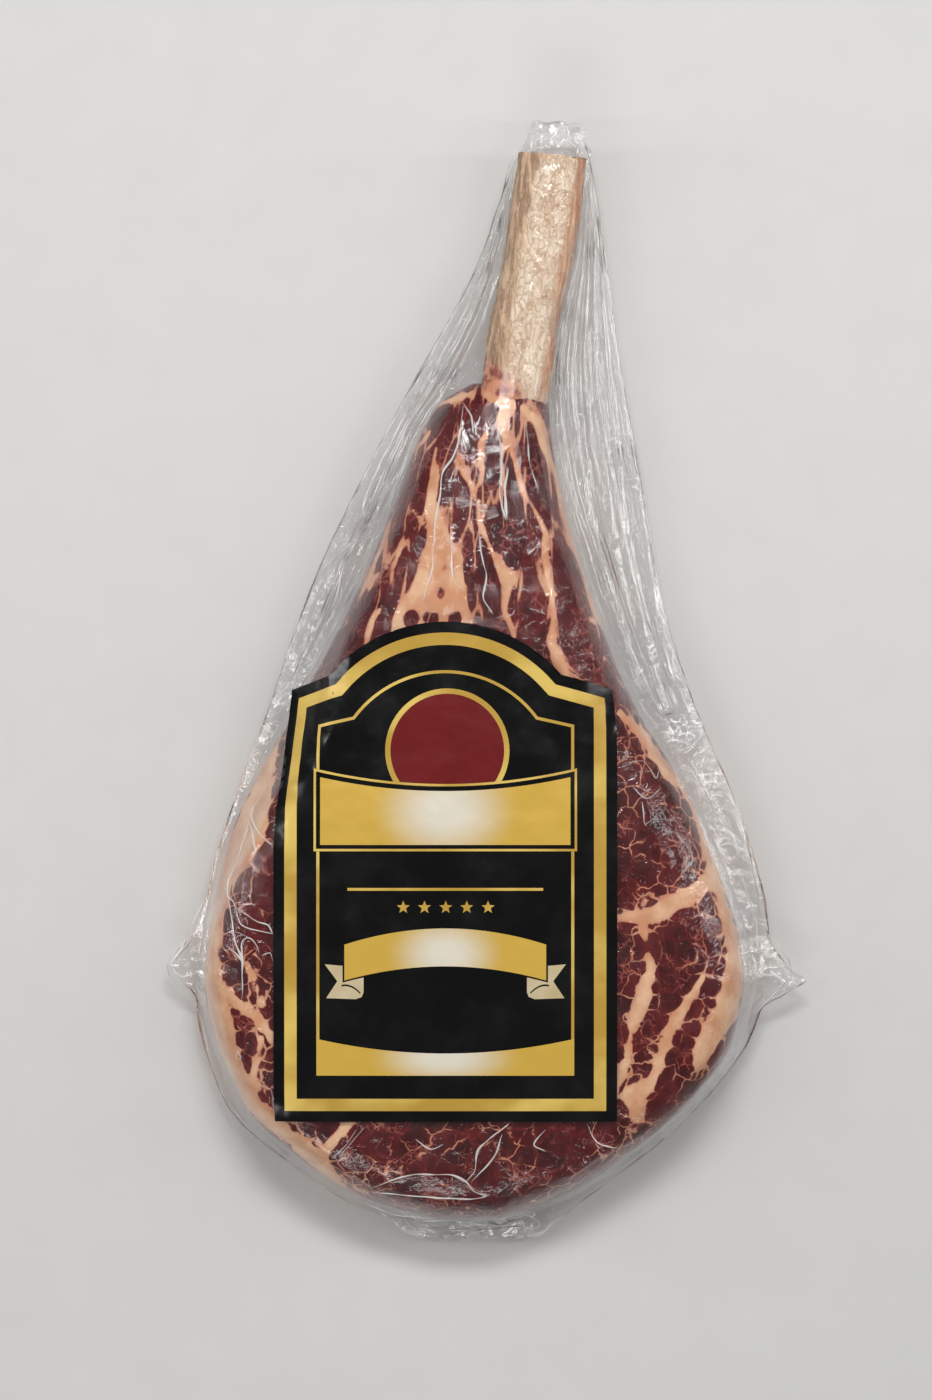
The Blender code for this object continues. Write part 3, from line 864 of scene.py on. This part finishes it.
y_all = grid[:, 1]
side_left, side_right = np.repeat(left, FILM_COLUMNS + 1), np.repeat(right, FILM_COLUMNS + 1)
out = np.minimum(grid[:, 0] - side_left, side_right - grid[:, 0])
depth = slab_depth(grid)
web_share = in_web(grid, side_left, side_right)
fade = ease(y_all, -50, 40) * (1 - ease(y_all, 202, 214)) * ease(out, 0, 3) * ease(web_share, 0, 0.12)
swing = lumps(np.stack([web_share * 30, y_all * 0.18], 1), 12, 4.4, 2)
swell = 0.65 + 0.6 * lumps(np.stack([web_share * 40, y_all * 0.3 + 50], 1), 10, 7.9)
pleats = np.sin(web_share * 2 * np.pi * 5.2 + 0.5 * swing) + 0.55 * np.sin(
    web_share * 2 * np.pi * 11.3 + 1.3 + 0.8 * swing)
pleats = 1.05 * pleats * swell * fade
LEFT_EAR, RIGHT_EAR = (-124, -117), (124, -119)
crumple_zone = np.maximum.reduce([ease(y_all, 207, 214), 1 - ease(y_all, -221, -211)]
                                 + [1 - ease(np.hypot(*(grid - ear).T), 4, 24)
                                    for ear in (LEFT_EAR, RIGHT_EAR)])
crumple_zone *= 1 - ease(depth, -2, 3)
crumple = (1.9 * sharp(grid, 9, 9.3) + 1.0 * sharp(grid, 4.5, 3.3)) * crumple_zone
sway = np.stack([sharp(grid, 11, 21.3), sharp(grid, 8, 27.1)], 1) * (1.6, -1.6)
sway *= crumple_zone[:, None]
waves = 0.40 * lumps(grid, 16, 6.1) + 0.30 * lumps(grid, 5.5, 2.6, 2) + 0.14 * lumps(grid, 2.8, 5.6)
fold = ridges(grid)
rim = ease(out, 0, 2.5)
under_label = ((np.abs(grid[:, 0] + 16) < 66) & (y_all > -173) & (y_all < 18)).astype(float)
relief = (pleats + crumple + waves * (1 - 0.85 * under_label) + fold * (1 - under_label)).reshape(shape)
top = top + relief * rim.reshape(shape)
low = low + (pleats * 0.8 + crumple * 0.8).reshape(shape) * rim.reshape(shape)
steak_surface = surface_of(steak.data)
meat_up, meat_down = (cast(steak_surface, grid, down) for down in (True, False))
meat_up = np.where(np.isnan(meat_up), -99, meat_up + 0.35 + 0.35 * fold).reshape(shape)
meat_down = np.where(np.isnan(meat_down), 99, meat_down - 0.3).reshape(shape)
top = np.maximum(top, with_neighbours(meat_up, np.maximum))
low = np.minimum(low, with_neighbours(meat_down, np.minimum))
low = np.maximum(low, np.where(depth.reshape(shape) > 9, 0.05, 0.25))
top = np.maximum(top, low + 0.15)
index = row * (FILM_COLUMNS + 1) + column
top[:, [0, -1]] = low[:, [0, -1]] = (top[:, [0, -1]] + low[:, [0, -1]]) / 2    # both sides shut
swayed = grid + sway
move_points(film, np.stack([swayed[index, 0], swayed[index, 1],
                            np.where(upper, top.ravel()[index], low.ravel()[index])], 1))
bpy.ops.object.shade_smooth()
store(film, "loose", np.maximum(ease(web_share, 0, 0.3), crumple_zone)[index])
print("Film:", len(film.data.polygons), "faces")

# %% [markdown]
# ## Clear film
#
# Film this thin doesn't bend light, so a glass shader would be wrong and slow. What it does is
# reflect: little when seen straight on and a lot when it turns away. So the finish mixes a
# see-through shader with a gloss by how far the film is turned away, the same from either side,
# and adds a trace of haze for the scuffs and for the places where the film lies loose and double.

# %% Wire the film's finish
SEEN_FLAT, SEEN_EDGE_ON = 0.045, 0.93       # how much film reflects, and how much more edge on
clear = Finish("clear_film")
through = clear.add("BsdfTransparent", None, Color=(0.985, 0.985, 0.985, 1)).outputs[0]
shine = clear.add("BsdfGlossy", None, Color=(1, 1, 1, 1), Roughness=0.055)
haze = clear.add("BsdfDiffuse", None, Color=linear(214, 212, 208)).outputs[0]
turning = clear.add("LayerWeight", None, Blend=0.5)
grazing = turning.outputs["Facing"]         # 0 seen straight on, 1 seen edge on, from either side
loose = clear.add("Attribute", {"attribute_name": "loose"}).outputs["Fac"]
scuffs = clear.ramp(clear.noise(60, 4, 0.6), 0.4, 0.75, 0.0, 0.02)
scuffs = clear.math("ADD", scuffs, clear.math("MULTIPLY", loose, 0.05))
turned = clear.math("MULTIPLY", clear.ramp(grazing, 0.45, 1.0),
                    clear.math("MULTIPLY_ADD", loose, 0.26, 0.03))
milky = clear.mix_shaders(clear.math("ADD", turned, scuffs), through, haze)
share = clear.math("MULTIPLY_ADD", clear.math("POWER", grazing, 3.2), SEEN_EDGE_ON, SEEN_FLAT)
loose_share = clear.math("MULTIPLY", clear.math("MULTIPLY", loose, 0.45), grazing)
share = clear.math("ADD", share, loose_share, clamp=True)
clear.show(clear.mix_shaders(share, milky, shine.outputs[0]))
crackle = clear.math("ADD", clear.noise(130, 4, 0.6, None, 1.6),
                     clear.math("MULTIPLY", clear.noise(520, 3), 0.25))
for target in (shine, turning):
    clear.bump(crackle, 0.4, 0.0013, target)
dress(film, clear)
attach(film, "root")
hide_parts("bag")
print("Film wired")

# %% [markdown]
# ## Creases
#
# Film folds to a hard crease, and a real crease stays bright from wherever it is seen, because its
# tiny round back always finds a lamp. Here that brightness is a painted highlight in the thread's
# colour, and in the web it gives way by stretches to a painted grey shade. On the film's own grid
# such a line would be far too coarse, so each crease is a thread of its own: a long thin block laid
# along its marks, pointed at both ends and roof-shaped across, resting on the film. Those over the
# meat are placed one by one, and the many that fan down the web on both sides of the bone come from
# a loop.

# %% Mark the creases
CREASES = (
    # over the neck
    (0.36, ((-9, 110), (-9.9, 99.6), (-12.3, 90), (-17.2, 81), (-18, 74), (-20, 63), (-21, 46),
            (-25, 31))),
    (0.30, ((-14, 60), (-13, 40), (-9, 35))), (0.30, ((-3, 61), (-1, 46), (0.3, 41), (-1, 33), (3, 26))),
    (0.45, ((4.8, 99), (6.4, 87), (5.6, 74), (8, 63))), (0.55, ((9, 84), (7.5, 76), (8, 68), (8.4, 64))),
    (0.28, ((-9, 110), (-5.5, 104), (-5, 98))), (0.26, ((16, 104), (17, 90), (21, 74))),
    # left of the label
    (0.30, ((-94.3, -56.3), (-90.6, -69.5))), (0.34, ((-88.7, -45), (-93.4, -54), (-92, -58), (-84, -66))),
    (0.34, ((-94.3, -56), (-99, -72), (-102.8, -82), (-102.5, -86), (-100, -88), (-97, -97), (-84, -100.6))),
    (0.38, ((-102, -87), (-99, -104), (-96.2, -112), (-96.7, -129))),
    (0.45, ((-99, -90), (-90.6, -95.4), (-86, -97), (-84.4, -100.6))),
    (0.32, ((-96.2, -112), (-96.7, -104), (-94.3, -102), (-90.6, -105.4), (-89.6, -108))),
    (0.30, ((-88.7, -109), (-85.4, -108), (-84, -112))), (0.30, ((-103, -105), (-99, -108), (-96, -112))),
    (0.26, ((-90, -160), (-85, -163), (-84, -170))),
    (0.26, ((-98.6, -147), (-97, -150), (-99, -151), (-98.6, -147))),
    # under the label
    (0.42, ((-46, -202), (-26, -196), (-15.6, -196), (-7.6, -199), (-4.6, -203), (0, -205), (-6.6, -206.3),
            (-28.5, -205), (-45.4, -204))),
    (0.40, ((-7.6, -199), (-4.2, -194), (-3.2, -187), (1.3, -182), (9.3, -176))),
    (0.32, ((-5.6, -199), (4.3, -187), (6.3, -180))),
    (0.26, ((-53, -195), (-50, -200), (-47, -198), (-46, -202))),
    (0.34, ((-49, -210), (-32, -216), (-24, -216))),
    (0.30, ((-58, -189), (-52, -182), (-48, -177))),
    (0.26, ((-61, -190), (-55, -184), (-51, -178))), (0.24, ((-28, -182), (-21, -186), (-17, -184))),
    (0.24, ((24, -178), (19, -184), (24, -187))), (0.24, ((40, -176), (45, -184), (52, -186))),
    # right of the label
    (0.30, ((55, -33), (62, -32), (67.6, -39), (69.3, -34))), (0.28, ((58, -42), (64, -47), (69, -43))),
    (0.45, ((62, -49), (63, -57), (69, -53))), (0.30, ((75, -60), (82, -71), (78, -76))),
    (0.36, ((73, -25), (80, -31), (86.7, -42), (92.3, -54.5))),
    (0.40, ((98, -49), (102.4, -61), (109, -75), (111.4, -81.4), (109, -80), (108, -75))),
    (0.36, ((101, -77), (106, -88), (109, -100.5), (109, -107), (117, -112), (125, -118))),
    (0.30, ((109, -118), (116, -118.5), (121, -125))), (0.28, ((111, -126), (104, -134))),
)
HEM_CREASES = (
    # the hem under the slab
    (0.36, ((-32, -217), (-28, -220), (-20, -221.5), (-9, -222), (4, -221), (13, -220), (20, -220.5),
            (22, -219), (20, -217), (16, -215))),
    (0.30, ((-27, -219), (-22, -217), (-16, -216))), (0.28, ((-8, -220), (-6, -215))),
    (0.32, ((-5, -217), (5, -219), (13, -217), (16, -215))), (0.26, ((2, -216), (8, -215), (10, -218))),
    # the left corner and the folds at the web's foot
    (0.34, ((-127, -115), (-123, -109), (-118, -98), (-113, -88))),
    (0.30, ((-127, -115), (-122, -119), (-117, -118))),
    (0.40, ((-25, 118), (-35, 101), (-43, 85), (-49, 68), (-48, 63), (-42, 74), (-32, 99))),
    (0.34, ((-47, 61), (-54, 55), (-66, 42))), (0.34, ((-50, 50), (-57, 45), (-60, 33), (-70, 10))),
    (0.42, ((56, 17), (66, -4), (72, -14), (75, -13), (71, 0))),
    # over the bone's end
    (0.30, ((15, 214), (20, 220), (26, 218), (31, 222), (38, 221))),
    (0.34, ((19, 213), (24, 217), (33, 213))),
    (0.28, ((33, 213), (36, 219))), (0.26, ((27, 218), (29, 213))), (0.30, ((12, 213), (8, 200), (6, 190))),
    (0.34, ((40, 214), (42, 207), (43, 201))),
)
chance = np.random.default_rng(14)
WEB_CREASES = []
for side, count, inner_marks, outer_marks in ((1, 12, WEB_RIGHT, right_edge),
                                              (-1, 7, WEB_LEFT, left_edge)):
    for number in range(count):
        start, end = 206 - 60 * chance.random() ** 2, 110 - 150 * chance.random()
        share = ((number + 0.2 + 0.6 * chance.random()) / count) ** 1.25
        at = np.linspace(start, end, 14)
        inner, outer = curve(inner_marks, at), np.interp(at, *zip(*outer_marks))
        bend = 0.06 * lumps([(number * 9, y) for y in at], 45, 3.7 * side)
        out = inner + (outer - inner) * np.clip(share + bend, 0.03, 0.97)
        WEB_CREASES.append((0.16 + 0.26 * chance.random() ** 2, np.stack([out, at], 1)))
print(len(CREASES) + len(HEM_CREASES), "creases placed and", len(WEB_CREASES), "in the web")

# %% Lay the creases on the film
film_surface = surface_of(film.data)


THREAD_STEP = 1.1                   # millimetres between two rings of points


def thread(name, half, marks):
    """A long thin block along the marks, half as wide as told, on top of the film."""
    marks = np.array(marks, float)
    run = np.concatenate([[0], np.cumsum(np.hypot(*np.diff(marks, axis=0).T))])
    count = max(int(run[-1] / THREAD_STEP), 6)
    at = np.linspace(0, run[-1], count + 1)
    line = np.stack([curve(np.stack([run, marks[:, axis]], 1), at) for axis in (0, 1)], 1)
    line += 0.35 * np.stack([lumps(line, 7, 2.9), lumps(line, 7, 6.3)], 1)
    way = np.gradient(line, axis=0)
    normal = np.stack([-way[:, 1], way[:, 0]], 1) / np.maximum(np.hypot(*way.T), 1e-6)[:, None]
    wide = half * np.sqrt(np.clip(1 - np.abs(2 * at / run[-1] - 1) ** 3, 0.02, 1))
    wide *= np.clip(0.72 + 1.1 * lumps(line, 6, 9.1), 0.25, 1.3)
    over = cast(film_surface, line)
    over = np.where(np.isnan(over), np.nanmin(over), over)
    block, column, row, upper = closed_block(name, count, 2)
    places = line[column] + normal[column] * (wide[column] * (row - 1))[:, None]
    lift = np.where(upper, np.where(row == 1, 0.30 + 0.5 * wide[column], 0.16), 0.02)
    move_points(block, np.column_stack([places, over[column] + lift]))
    bpy.ops.object.shade_smooth()
    return block


def joined(name, marked):
    threads = [thread(f"{name}_{n}", half, marks) for n, (half, marks) in enumerate(marked)]
    deselect()
    for block in threads:
        block.select_set(True)
    bpy.context.view_layer.objects.active = threads[0]
    bpy.ops.object.join()
    threads[0].name = threads[0].data.name = name
    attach(threads[0], "root")
    print(name, "has", len(marked), "creases and", len(threads[0].data.polygons), "faces")
    return threads[0]


def creased_painted_light(name, painted_shade, painted_highlight, cover):
    """Film folded on itself: part see-through, coloured in stretches of painted highlight and painted shade
    along its length.
    """
    finish = Finish(name, Roughness=0.10, Specular_IOR_Level=0.8)
    # painted highlight and painted shade: stretches along each crease take the lighter or the darker colour
    painted_light_turns = finish.ramp(finish.noise(1, 2, 0.5, finish.coords((90, 38, 90))), 0.34, 0.56)
    finish.paint(finish.mix(painted_light_turns, painted_shade, painted_highlight))
    finish.show(finish.mix_shaders(cover, finish.add("BsdfTransparent").outputs[0],
                                   finish.shader.outputs[0]))
    return finish


rims = [(0.26, np.array(marks)[2:-2:4, ::-1] + (inwards, 0))
        for marks, inwards in ((left_edge, 0.5), (right_edge, -0.5))]
over_meat = joined("meat_creases", CREASES)
# painted highlight: the creases over the meat are near white, in two close tones
dress(over_meat, creased_painted_light("creases_painted_highlight", linear(226, 220, 214), linear(250, 248, 244), 0.55))
in_the_web = joined("web_creases_painted_light", HEM_CREASES + tuple(WEB_CREASES) + tuple(rims))
# painted shade and painted highlight: the creases in the web, at the hems and along the bag's sides go grey
# and white by stretches
dress(in_the_web, creased_painted_light("web_creases_painted_light", linear(120, 118, 116), linear(250, 250, 250), 0.5))

# %% [markdown]
# ## The label
#
# The label is laid like wet paper: a grid in the label's own flat sizes, each point then dropped
# onto the solid label. All its print is drawn in those flat sizes too, with the middle of the
# foot as the origin, so a band stays as wide as it was printed wherever the label bends.

# %% Read the solid label as a map from flat to bent
LABEL_HALF, LABEL_FOOT, LABEL_MIDDLE = 68.0, -175.0, -16.0
SHOULDER, EAVES, EAVES_RISE, ARCH_RISE = 171.0, 22.0, 6.0, 21.0


def label_top(at):
    """The height of the label's upper edge: straight eaves, then the arch."""
    at = np.abs(np.asarray(at, float))
    foot = LABEL_HALF - EAVES
    radius = (foot ** 2 + ARCH_RISE ** 2) / (2 * ARCH_RISE)
    arch = np.sqrt(np.maximum(radius ** 2 - at ** 2, 0)) - (radius - ARCH_RISE)
    return np.where(at >= foot, SHOULDER + EAVES_RISE * (LABEL_HALF - at) / EAVES,
                    SHOULDER + EAVES_RISE + arch)


MAP_COLUMNS, MAP_ROWS, MAP_HIGH = 137, 199, 198.0
OVER_FILM = 0.45                    # the label's upper side lies at least this far over the film
map_across = np.linspace(-LABEL_HALF, LABEL_HALF, MAP_COLUMNS)
map_up = np.linspace(0, MAP_HIGH, MAP_ROWS)
bent_x, bent_z = np.zeros((MAP_ROWS, MAP_COLUMNS)), np.zeros((MAP_ROWS, MAP_COLUMNS))
reach = np.linspace(-100, 68, 337)
for r, up_label in enumerate(map_up):
    y = LABEL_FOOT + min(max(up_label, 0.4), SHOULDER - 1)
    heights = cast(label_surface, [(x, y) for x in reach])
    known = ~np.isnan(heights)
    heights = np.interp(reach, reach[known], heights[known])
    run = np.concatenate([[0], np.cumsum(np.hypot(np.diff(reach), np.diff(heights)))])
    run -= np.interp(LABEL_MIDDLE, reach, run)
    bent_x[r] = np.interp(map_across, run, reach)
    bent_z[r] = np.interp(map_across, run, heights)
map_y = LABEL_FOOT + np.repeat(map_up, MAP_COLUMNS)
beneath = cast(film_surface, np.stack([bent_x.ravel(), map_y], 1))
beneath = np.where(np.isnan(beneath), bent_z.ravel(), beneath).reshape(bent_z.shape) + OVER_FILM
for _ in range(3):
    bent_z = blur(np.maximum(bent_z, beneath), 3)
spread = np.stack([np.tile(map_across, MAP_ROWS), np.repeat(map_up, MAP_COLUMNS)], 1)
ripple = 0.30 * lumps(spread, 26, 7.7) + 0.08 * lumps(spread, 12, 1.9)
bent_z += ripple.reshape(bent_z.shape)


def on_label(flat, lift=0.0):
    """Bent places, in millimetres, for flat (across, up) places on the label."""
    flat = np.asarray(flat, float)
    c = np.clip((flat[:, 0] + LABEL_HALF) / (2 * LABEL_HALF) * (MAP_COLUMNS - 1), 0, MAP_COLUMNS - 1.001)
    r = np.clip(flat[:, 1] / MAP_HIGH * (MAP_ROWS - 1), 0, MAP_ROWS - 1.001)
    c0, r0 = c.astype(int), r.astype(int)
    fc, fr = c - c0, r - r0

    def pick(table):
        return ((table[r0, c0] * (1 - fc) + table[r0, c0 + 1] * fc) * (1 - fr)
                + (table[r0 + 1, c0] * (1 - fc) + table[r0 + 1, c0 + 1] * fc) * fr)

    return np.stack([pick(bent_x), LABEL_FOOT + flat[:, 1], pick(bent_z) + lift], 1)


print("Label map ready")

# %% Lay the label's sheet
LABEL_THICK, LABEL_COLUMNS, LABEL_ROWS = 0.25, 68, 110
label, column, row, upper = closed_block("label_sheet", LABEL_COLUMNS, LABEL_ROWS)
flat_across = (column * 2 / LABEL_COLUMNS - 1) * LABEL_HALF
flat = np.stack([flat_across, label_top(flat_across) * row / LABEL_ROWS], 1)
move_points(label, on_label(flat, np.where(upper, 0, -LABEL_THICK)))
bpy.ops.object.shade_smooth_by_angle(angle=math.radians(60))
print("Label:", len(label.data.polygons), "faces")

# %% [markdown]
# The print is cut from flat shapes, as from coloured foil. A filled shape starts as a filled
# circle and a band as a bare circle that is extruded once; in both, the points are then moved onto
# the drawn outline. The shape is sliced along a grid so that it can bend, and dropped onto the
# label a hair above what lies under it. The lettering and the picture that such labels carry are
# left out: their places stay bare.

# %% Cut a printed shape
def chain(*parts):
    return np.concatenate([np.asarray(part, float).reshape(-1, 2) for part in parts])


def bow(start, end, rise, count=24):
    """A shallow curve between two points, its middle lifted by the rise."""
    t = np.linspace(0, 1, count)[:, None]
    return np.array(start) * (1 - t) + np.array(end) * t + np.array([0, rise]) * 4 * t * (1 - t)


def inset(outline, by):
    """The outline moved inwards by the same width all along. It runs anticlockwise."""
    before, after = np.roll(outline, 1, 0), np.roll(outline, -1, 0)
    first, second = outline - before, after - outline
    first /= np.hypot(*first.T)[:, None]
    second /= np.hypot(*second.T)[:, None]
    normal = np.stack([-(first + second)[:, 1], (first + second)[:, 0]], 1)
    normal /= np.hypot(*normal.T)[:, None]
    lean = np.maximum((normal * np.stack([-first[:, 1], first[:, 0]], 1)).sum(1), 0.3)
    return outline + normal * (by / lean)[:, None]


def print_shape(name, finish, lift, outer, inner=None, slices=2.0):
    deselect()
    bpy.ops.mesh.primitive_circle_add(vertices=len(outer), radius=1, location=(0, 0, 0),
                                      fill_type="NOTHING" if inner is not None else "NGON")
    piece = bpy.context.object
    piece.name = piece.data.name = name
    edit_all()
    bpy.ops.mesh.select_mode(type="VERT")
    bpy.ops.mesh.select_all(action="SELECT")
    if inner is not None:
        bpy.ops.mesh.extrude_region_move()
    bpy.ops.object.mode_set(mode="OBJECT")
    flat = outer if inner is None else np.concatenate([outer, inner])
    move_points(piece, np.column_stack([flat, np.zeros(len(flat))]))
    edit_all()
    bpy.ops.mesh.quads_convert_to_tris(quad_method="BEAUTY", ngon_method="BEAUTY")
    for axis, way in ((0, (1, 0, 0)), (1, (0, 1, 0))):
        low, high = flat[:, axis].min(), flat[:, axis].max()
        for cut in np.arange(low + slices, high, slices) if slices else ():
            bpy.ops.mesh.select_all(action="SELECT")
            bpy.ops.mesh.bisect(plane_co=tuple(c * cut * MM for c in way), plane_no=way)
    bpy.ops.object.mode_set(mode="OBJECT")
    places = points_of(piece)[:, :2] / MM
    low, high = flat.min(0), flat.max(0)
    share = (places - (low + high) / 2) / ((high - low) / 2)
    if sum(face.normal.z for face in piece.data.polygons) < 0:
        edit_all()
        bpy.ops.mesh.flip_normals()
        bpy.ops.object.mode_set(mode="OBJECT")
    move_points(piece, on_label(places, lift))
    store_uv(piece, "Print", share)
    bpy.ops.object.shade_smooth()
    dress(piece, finish)
    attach(piece, "root")


# %% [markdown]
# ## Inks
#
# The label is glossy black plastic film. Its gold is ink with a satin finish; the soft brighter
# bands in it are a painted sheen, and on the big fields it fades to a pale silver in the middle.
# The disc is a deep red.

# %% Wire the inks
def gloss_ripples(finish, strength):
    finish.bump(finish.noise(28, 3, 0.5), strength, 0.004)


black = Finish("black_gloss", Specular_IOR_Level=0.35)
black.paint(black.mix(black.ramp(black.noise(35, 3), 0.45, 0.7), linear(6, 6, 6),
                      linear(12, 12, 12)))
black.paint(black.ramp(black.noise(45, 4, 0.6), 0.35, 0.7, 0.16, 0.34), "Roughness")
gloss_ripples(black, 0.6)

gold = Finish("gold_ink", Metallic=0.1, Roughness=0.34, Specular_IOR_Level=0.6)
# painted sheen: soft bands where the gold's colour is lighter
painted_sheen = gold.ramp(gold.noise(1, 3, 0.5, gold.coords((26, 34, 26))), 0.38, 0.66)
gold.paint(gold.mix(painted_sheen, linear(188, 150, 58), linear(226, 194, 100)))
gloss_ripples(gold, 0.5)

faded = Finish("gold_fading_to_silver", Metallic=0.2, Roughness=0.36, Specular_IOR_Level=0.6)
out = faded.add("SeparateXYZ")
faded.join(faded.coords((1, 0.35, 1), uv="Print"), out.inputs[0])
round_middle = faded.math("SQRT", faded.math("ADD", faded.math("POWER", out.outputs["X"], 2.0),
                                             faded.math("POWER", out.outputs["Y"], 2.0)))
pale = faded.ramp(round_middle, 0.08, 0.62, 1, 0)
faded.paint(faded.mix(pale, linear(214, 174, 70), linear(232, 224, 206)))
gloss_ripples(faded, 0.5)

silver = Finish("silver_ink", Roughness=0.4, Metallic=0.2)
silver.paint(silver.mix(silver.noise(120, 2), linear(184, 156, 96), linear(222, 210, 182)))
deep_red = Finish("deep_red_ink", Roughness=0.3)
deep_red.paint(deep_red.mix(deep_red.noise(60, 3), linear(98, 8, 12), linear(114, 12, 16)))
gloss_ripples(deep_red, 0.5)
dress(label, black)
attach(label, "root")
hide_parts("label")
print("Inks ready")

# %% Print the frame and its inner line
def arched(half, foot, shoulder, eaves, eaves_rise, arch_rise, count=37):
    """An outline like the label's own, anticlockwise from its lower left."""
    out = half - eaves
    radius = (out ** 2 + arch_rise ** 2) / (2 * arch_rise)
    at = np.linspace(out, -out, count)
    arch = shoulder + eaves_rise + np.sqrt(radius ** 2 - at ** 2) - (radius - arch_rise)
    return chain([(-half, foot), (half, foot), (half, shoulder)], np.stack([at, arch], 1),
                 [(-half, shoulder)])


# how far each layer of ink lies over the label
FIRST_INK, SECOND_INK, THIRD_INK = 0.14, 0.24, 0.34
whole = arched(LABEL_HALF, 0.0, SHOULDER, EAVES, EAVES_RISE, ARCH_RISE)
MARGIN, BAND = 4.3, 4.9
print_shape("gold_frame", gold, FIRST_INK, inset(whole, MARGIN), inset(whole, MARGIN + BAND))
line = arched(51.0, 24.0, 157.2, 14.4, 3.2, 18.4)
print_shape("gold_line", gold, FIRST_INK, line, inset(line, 1.2))

# %% Print the roundel and the banner
turn = np.linspace(0, 2 * np.pi, 65)[:-1]
ring = np.stack([np.cos(turn), np.sin(turn)], 1)
ROUNDEL = np.array([0.8, 147.0])
print_shape("roundel_ring", gold, FIRST_INK, ROUNDEL + ring * 24.6, ROUNDEL + ring * 22.5)
print_shape("roundel_disc", deep_red, FIRST_INK, ROUNDEL + ring * 22.5)


def banner(half, low, high, dip):
    return chain([(-half, low), (half, low)], bow((half, high), (-half, high), dip))


banner_frame = banner(52.1, 107.2, 140, -6.2)
print_shape("banner_back", black, SECOND_INK, banner_frame)
print_shape("banner_line", gold, THIRD_INK, banner_frame, inset(banner_frame, 0.95))
print_shape("banner_panel", faded, THIRD_INK, banner(49.5, 109.7, 136.5, -5.5))

# %% Print the rule, the stars and the foot of the frame
print_shape("gold_rule", gold, FIRST_INK,
            chain([(-38.7, 91.6), (38.7, 91.6), (38.7, 92.7), (-38.7, 92.7)]))
points = np.pi / 2 + np.arange(10) * np.pi / 5
STAR_POINT, STAR_NOTCH = 2.7, 1.15
star = np.stack([np.cos(points), np.sin(points)], 1)
star *= np.where(np.arange(10) % 2, STAR_NOTCH, STAR_POINT)[:, None]
for number, at in enumerate((-16.6, -8.2, 0.2, 8.5, 16.9)):
    print_shape(f"star_{number + 1}", gold, FIRST_INK, star + np.array([at, 85.0]), slices=0)
print_shape("foot_field", faded, SECOND_INK, banner(51.0, 18.4, 33.0, -5.8))

# %% Print the ribbon
for side, word in ((-1, "left"), (1, "right")):
    tail = chain([(40.6, 61.9), (47.7, 62.5), (42.7, 55.8), (47.1, 49.1), (35.3, 48.7), (33, 49.6),
                  (32.3, 51.4), (32.3, 58.6)]) * (side, 1)
    print_shape(f"ribbon_tail_{word}", silver, FIRST_INK, tail if side < 0 else tail[::-1])
    curl = bow((41.0, 54.4), (33.6, 51.4), 1.2, 8) * (side, 1)
    print_shape(f"ribbon_curl_{word}", black, SECOND_INK, chain(curl, curl[::-1] + (0, -0.65)), slices=0)


def ribbon(half, foot_side, top_side):
    return chain(bow((-half, foot_side), (half, foot_side), 5.6),
                 bow((half, top_side), (-half, top_side), 6.4))


print_shape("ribbon_edge", black, SECOND_INK, ribbon(40.6, 55.3, 71.0))
print_shape("ribbon", faded, THIRD_INK, ribbon(39.9, 56.1, 70.3))
print("Print laid")
